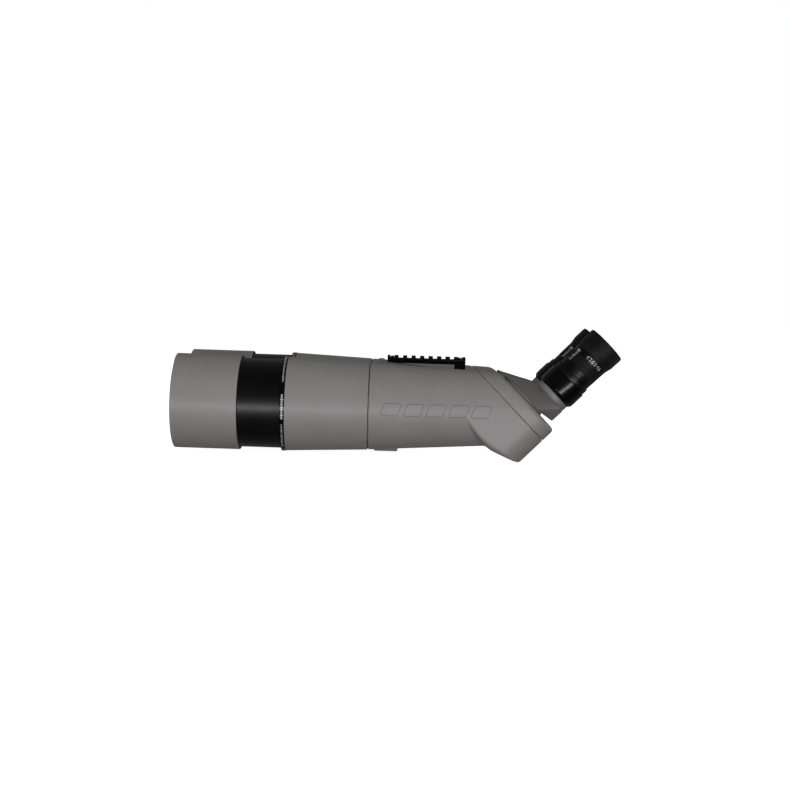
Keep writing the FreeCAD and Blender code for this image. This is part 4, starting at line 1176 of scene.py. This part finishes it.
def dial_digit(name, digit, angle, side, place):
    """One printed digit of the dial, wrapped on the eyepiece body."""
    text = bpy.data.curves.new(name, "FONT")
    text.body = digit
    text.size = DIGIT_SIZE
    text.align_x = "CENTER"
    text.align_y = "CENTER"
    text.extrude = 0.12
    scratch = linked(name, text)
    mesh = evaluated(scratch)
    bpy.data.objects.remove(scratch)
    for vertex in mesh.vertices:
        across, up, lift = vertex.co
        x = DIGIT_STATION + up
        radius = eye_radius(x) - 0.1 + lift
        turn = angle + across / radius
        vertex.co = (x * MM, radius * math.cos(turn) * MM, radius * math.sin(turn) * MM)
    obj = linked(name, mesh)
    outward(obj, weld=True)
    dressed(obj, [WHITE_INK], f"eyepiece_{side}", "eyepiece_black", place)


def eyepiece_grip(side):
    """The rubber grip: rows of small square studs round the eyepiece."""
    node = f"eyepiece_grip_{side}"
    place = eyepiece_frame(side)
    studs, rows, margin = 60, 8, 0.6
    start, end = GRIP_START + 0.05, GRIP_END - 0.05
    pitch = (end - start - 2 * margin) / rows
    stations = [start]
    for row in range(rows):
        low = start + margin + row * pitch
        stations += [low + share * pitch for share in (0.22, 0.3, 0.7, 0.78)]
    stations.append(end)
    outline = [(x, eye_radius(x) - 0.15) for x in stations]
    outline += [(end, eye_radius(end) - GRIP_DEPTH), (start, eye_radius(start) - GRIP_DEPTH)]

    def stud(x, r, angle):
        if r < eye_radius(x) - 0.5:
            return 0
        along = ((x - start - margin) / pitch) % 1
        around = (angle * studs / TURN) % 1
        inside = 0.26 < along < 0.74 and 0.2 < around < 0.72
        return 0.33 if inside and start + margin < x < end - margin else 0

    turned(
        node, "band", outline, [GRIP_RUBBER], f"eyepiece_{side}", "grip_rubber", place,
        studs * 8, relief=stud, sharp=50,
    )


def eyecup_sleeve(side):
    """The black sleeve that the eyecup rises on."""
    node, place, start, end, bore, radius = fitted("eyecup_sleeve", side, eyepiece_frame)
    outline = eased(
        [(start, bore, 0.2), (start, radius, 0.2), (end, radius, 0.3), (end, bore, 0.2)]
    )
    body = f"cup_sleeve_{side}"
    turned(node, "tube", outline, [CELL_BLACK], body, "eyepiece_black", place, 128)


CUP_LIP = 0.8
DIMPLE_STATION, DIMPLE_ANGLE = 84.5, 165.0
DIMPLE_RADIUS, DIMPLE_DEPTH = 0.7, 0.5


def eyecup(side):
    """The soft rubber cup: a flare, a rounded lip, and a dimple near the lip."""
    node, place, start, end, _, radius = fitted("eyecup", side, eyepiece_frame)
    skin_radius = radius - 0.05
    lip = end - 0.05
    outline = eased([
        (start, 19.7, 0.1), (start, 22.3, 0.35), (start + 7.7, skin_radius, 5),
        (end - CUP_LIP, skin_radius, 0.6), (lip, radius - CUP_LIP, 0.6), (lip, 19.6, 1.2),
        (82.3, 16.6, 0.8), (80.3, 15.0, 0.3), (80.3, 19.7, 0),
    ], 8)

    def dimple(x, r, angle):
        if r < radius - 2:
            return 0
        around = (angle - math.radians(DIMPLE_ANGLE)) * radius
        away = math.hypot(x - DIMPLE_STATION, around)
        return -DIMPLE_DEPTH * math.exp(-((away / DIMPLE_RADIUS) ** 2))

    turned(
        node, "rubber", divided(outline), [CUP_RUBBER], f"cup_{side}", "cup_rubber", place,
        240, relief=dimple, sharp=40,
    )


def divided(outline, longest=6, parts=8):
    """An outline with its long runs cut up, so that a relief can show on them."""
    fine = []
    for index, (x, r) in enumerate(outline):
        after = outline[(index + 1) % len(outline)]
        count = parts if math.dist((x, r), after) > longest else 1
        for part in range(count):
            fine.append((x + (after[0] - x) * part / count, r + (after[1] - r) * part / count))
    return fine


# --- rail, foot and fasteners ----------------------------------------------------------


def hardware():
    """The rail, the foot, its bush and the screws, with their edges broken."""
    softened("accessory_rail", RAIL_BLACK, "main", "rail_black", 0.35)
    # The foot takes the half-bright grey: painted shade for its place under the body.
    softened("mounting_foot", PAINTED_SHADE_GREY, "main", "body_paint", 0.6)
    softened("tripod_bush", SCREW_STEEL, "main", "socket_steel", 0.3, angle=40)
    softened("foot_screws", BLACK_STEEL, "main", "black_screw", 0.25, angle=40)
    softened("rail_screws", SCREW_STEEL, "main", "bright_screw", 0.45, angle=40)
    for side in SIDES:
        softened(f"cover_screws_{side}", BLACK_STEEL, "main", "black_screw", 0.25, angle=40)


# --- stage -----------------------------------------------------------------------------


def aimed(obj, place, target):
    obj.location = place
    direction = Vector(target) - Vector(place)
    obj.rotation_euler = direction.to_track_quat("-Z", "Y").to_euler()


def softbox(name, place, target, width, height, watts, colour=(1, 1, 1), mirrored=True):
    """An area light; one that isn't mirrored leaves no highlight of its own."""
    light = bpy.data.lights.new(name, "AREA")
    light.shape = "RECTANGLE"
    light.size = width
    light.size_y = height
    light.energy = watts
    light.color = colour
    obj = linked(name, light)
    obj.visible_glossy = mirrored
    aimed(obj, place, target)


FRONT_GLOW = 0.05
BACK_GLOW = 0.15
FLOOR_GLOW = 0.96


def surroundings():
    """A white background, dimmer where it only lights the object."""
    world = bpy.data.worlds.new("studio")
    bpy.context.scene.world = world
    world.use_nodes = True
    nodes, links = world.node_tree.nodes, world.node_tree.links
    back = nodes["Background"]
    back.inputs["Color"].default_value = (1, 1, 1, 1)
    where = nodes.new("ShaderNodeTexCoord").outputs["Generated"]
    split = nodes.new("ShaderNodeSeparateXYZ")
    links.new(where, split.inputs["Vector"])
    behind = map_range(world.node_tree, split.outputs["Y"], -0.1, 0.6, FRONT_GLOW, BACK_GLOW)
    path = nodes.new("ShaderNodeLightPath")
    seen = nodes.new("ShaderNodeMix")
    seen.inputs["B"].default_value = 1.0
    links.new(behind, seen.inputs["A"])
    links.new(path.outputs["Is Camera Ray"], seen.inputs["Factor"])
    links.new(seen.outputs["Result"], back.inputs["Strength"])


def floor():
    """A plain white floor under the object, bright enough to meet the background."""
    low = CAD_BOX[0].z
    middle_x = (CAD_BOX[0].x + CAD_BOX[1].x) / 2
    count, radius = 64, 12.0
    mesh = bpy.data.meshes.new("floor")
    ring = [
        (middle_x + radius * math.cos(TURN * k / count), radius * math.sin(TURN * k / count), low)
        for k in range(count)
    ]
    mesh.from_pydata(ring, [], [tuple(range(count))])
    obj = linked("floor", mesh)
    recipe = Recipe("floor_white")
    recipe.set(Base_Color=(0.8, 0.8, 0.8, 1), Roughness=0.9, Specular_IOR_Level=0.1)
    recipe.set(Emission_Color=(1, 1, 1, 1), Emission_Strength=FLOOR_GLOW)
    mesh.materials.append(recipe.material)
    obj.visible_diffuse = False
    obj.visible_glossy = False
    obj.visible_shadow = False


def lights():
    """A low strip in front, boxes above and behind, and a weak one at each side."""
    centre = (CAD_BOX[0] + CAD_BOX[1]) / 2
    softbox("front_strip", (0.0, -1.9, -0.22), centre, 2.6, 0.26, 25, (1.0, 0.985, 1.0))
    softbox("high_box", (0.0, -1.2, 1.0), centre, 2.0, 0.6, 8.5, (1.0, 0.985, 0.98), False)
    softbox("top_strip", (0.0, 0.55, 1.3), centre, 1.6, 0.5, 1.5, (1.0, 0.97, 0.93), False)
    softbox("back_box", (0.0, 1.9, 0.4), centre, 2.6, 0.5, 13, (1.0, 0.99, 0.98), False)
    softbox("left_box", (-1.7, 0.15, 0.45), centre, 0.6, 0.9, 3)
    softbox("right_box", (1.6, 0.5, -0.25), centre, 0.6, 0.6, 2)


CAMERA_PLACE = (8.97, -1541.5, 176.36)
CAMERA_TARGET = (8.97, 0.0, 63.46)
CAMERA_LENS = 59.74
CAMERA_ROLL = 1.875


def camera():
    """The photographer's place, a little above the barrels and square to them."""
    data = bpy.data.cameras.new("camera")
    data.lens = CAMERA_LENS
    data.sensor_width = 36
    data.clip_end = 60
    obj = linked("camera", data)
    place = Vector(CAMERA_PLACE) * MM
    target = Vector(CAMERA_TARGET) * MM
    turn = (target - place).to_track_quat("-Z", "Y").to_matrix()
    roll = Matrix.Rotation(math.radians(CAMERA_ROLL), 3, "Z")
    obj.matrix_world = Matrix.Translation(place) @ (turn @ roll).to_4x4()
    bpy.context.scene.camera = obj


SIDE_PIECES = [
    rear_cover, side_motif, dew_shield, objective_cell, lens_retainer, trim_ring,
    front_tube, optics, turret_housing, turret_base, focus_collar, focus_ring,
    eyepiece_holder, lock_ring, eyepiece_body, eyepiece_grip, eyecup_sleeve, eyecup,
]


def build():
    main_body()
    for side in SIDES:
        for make in SIDE_PIECES:
            make(side)
    hardware()
    floor()
    surroundings()
    lights()
    camera()
    bpy.context.scene.view_settings.view_transform = "Standard"


build()
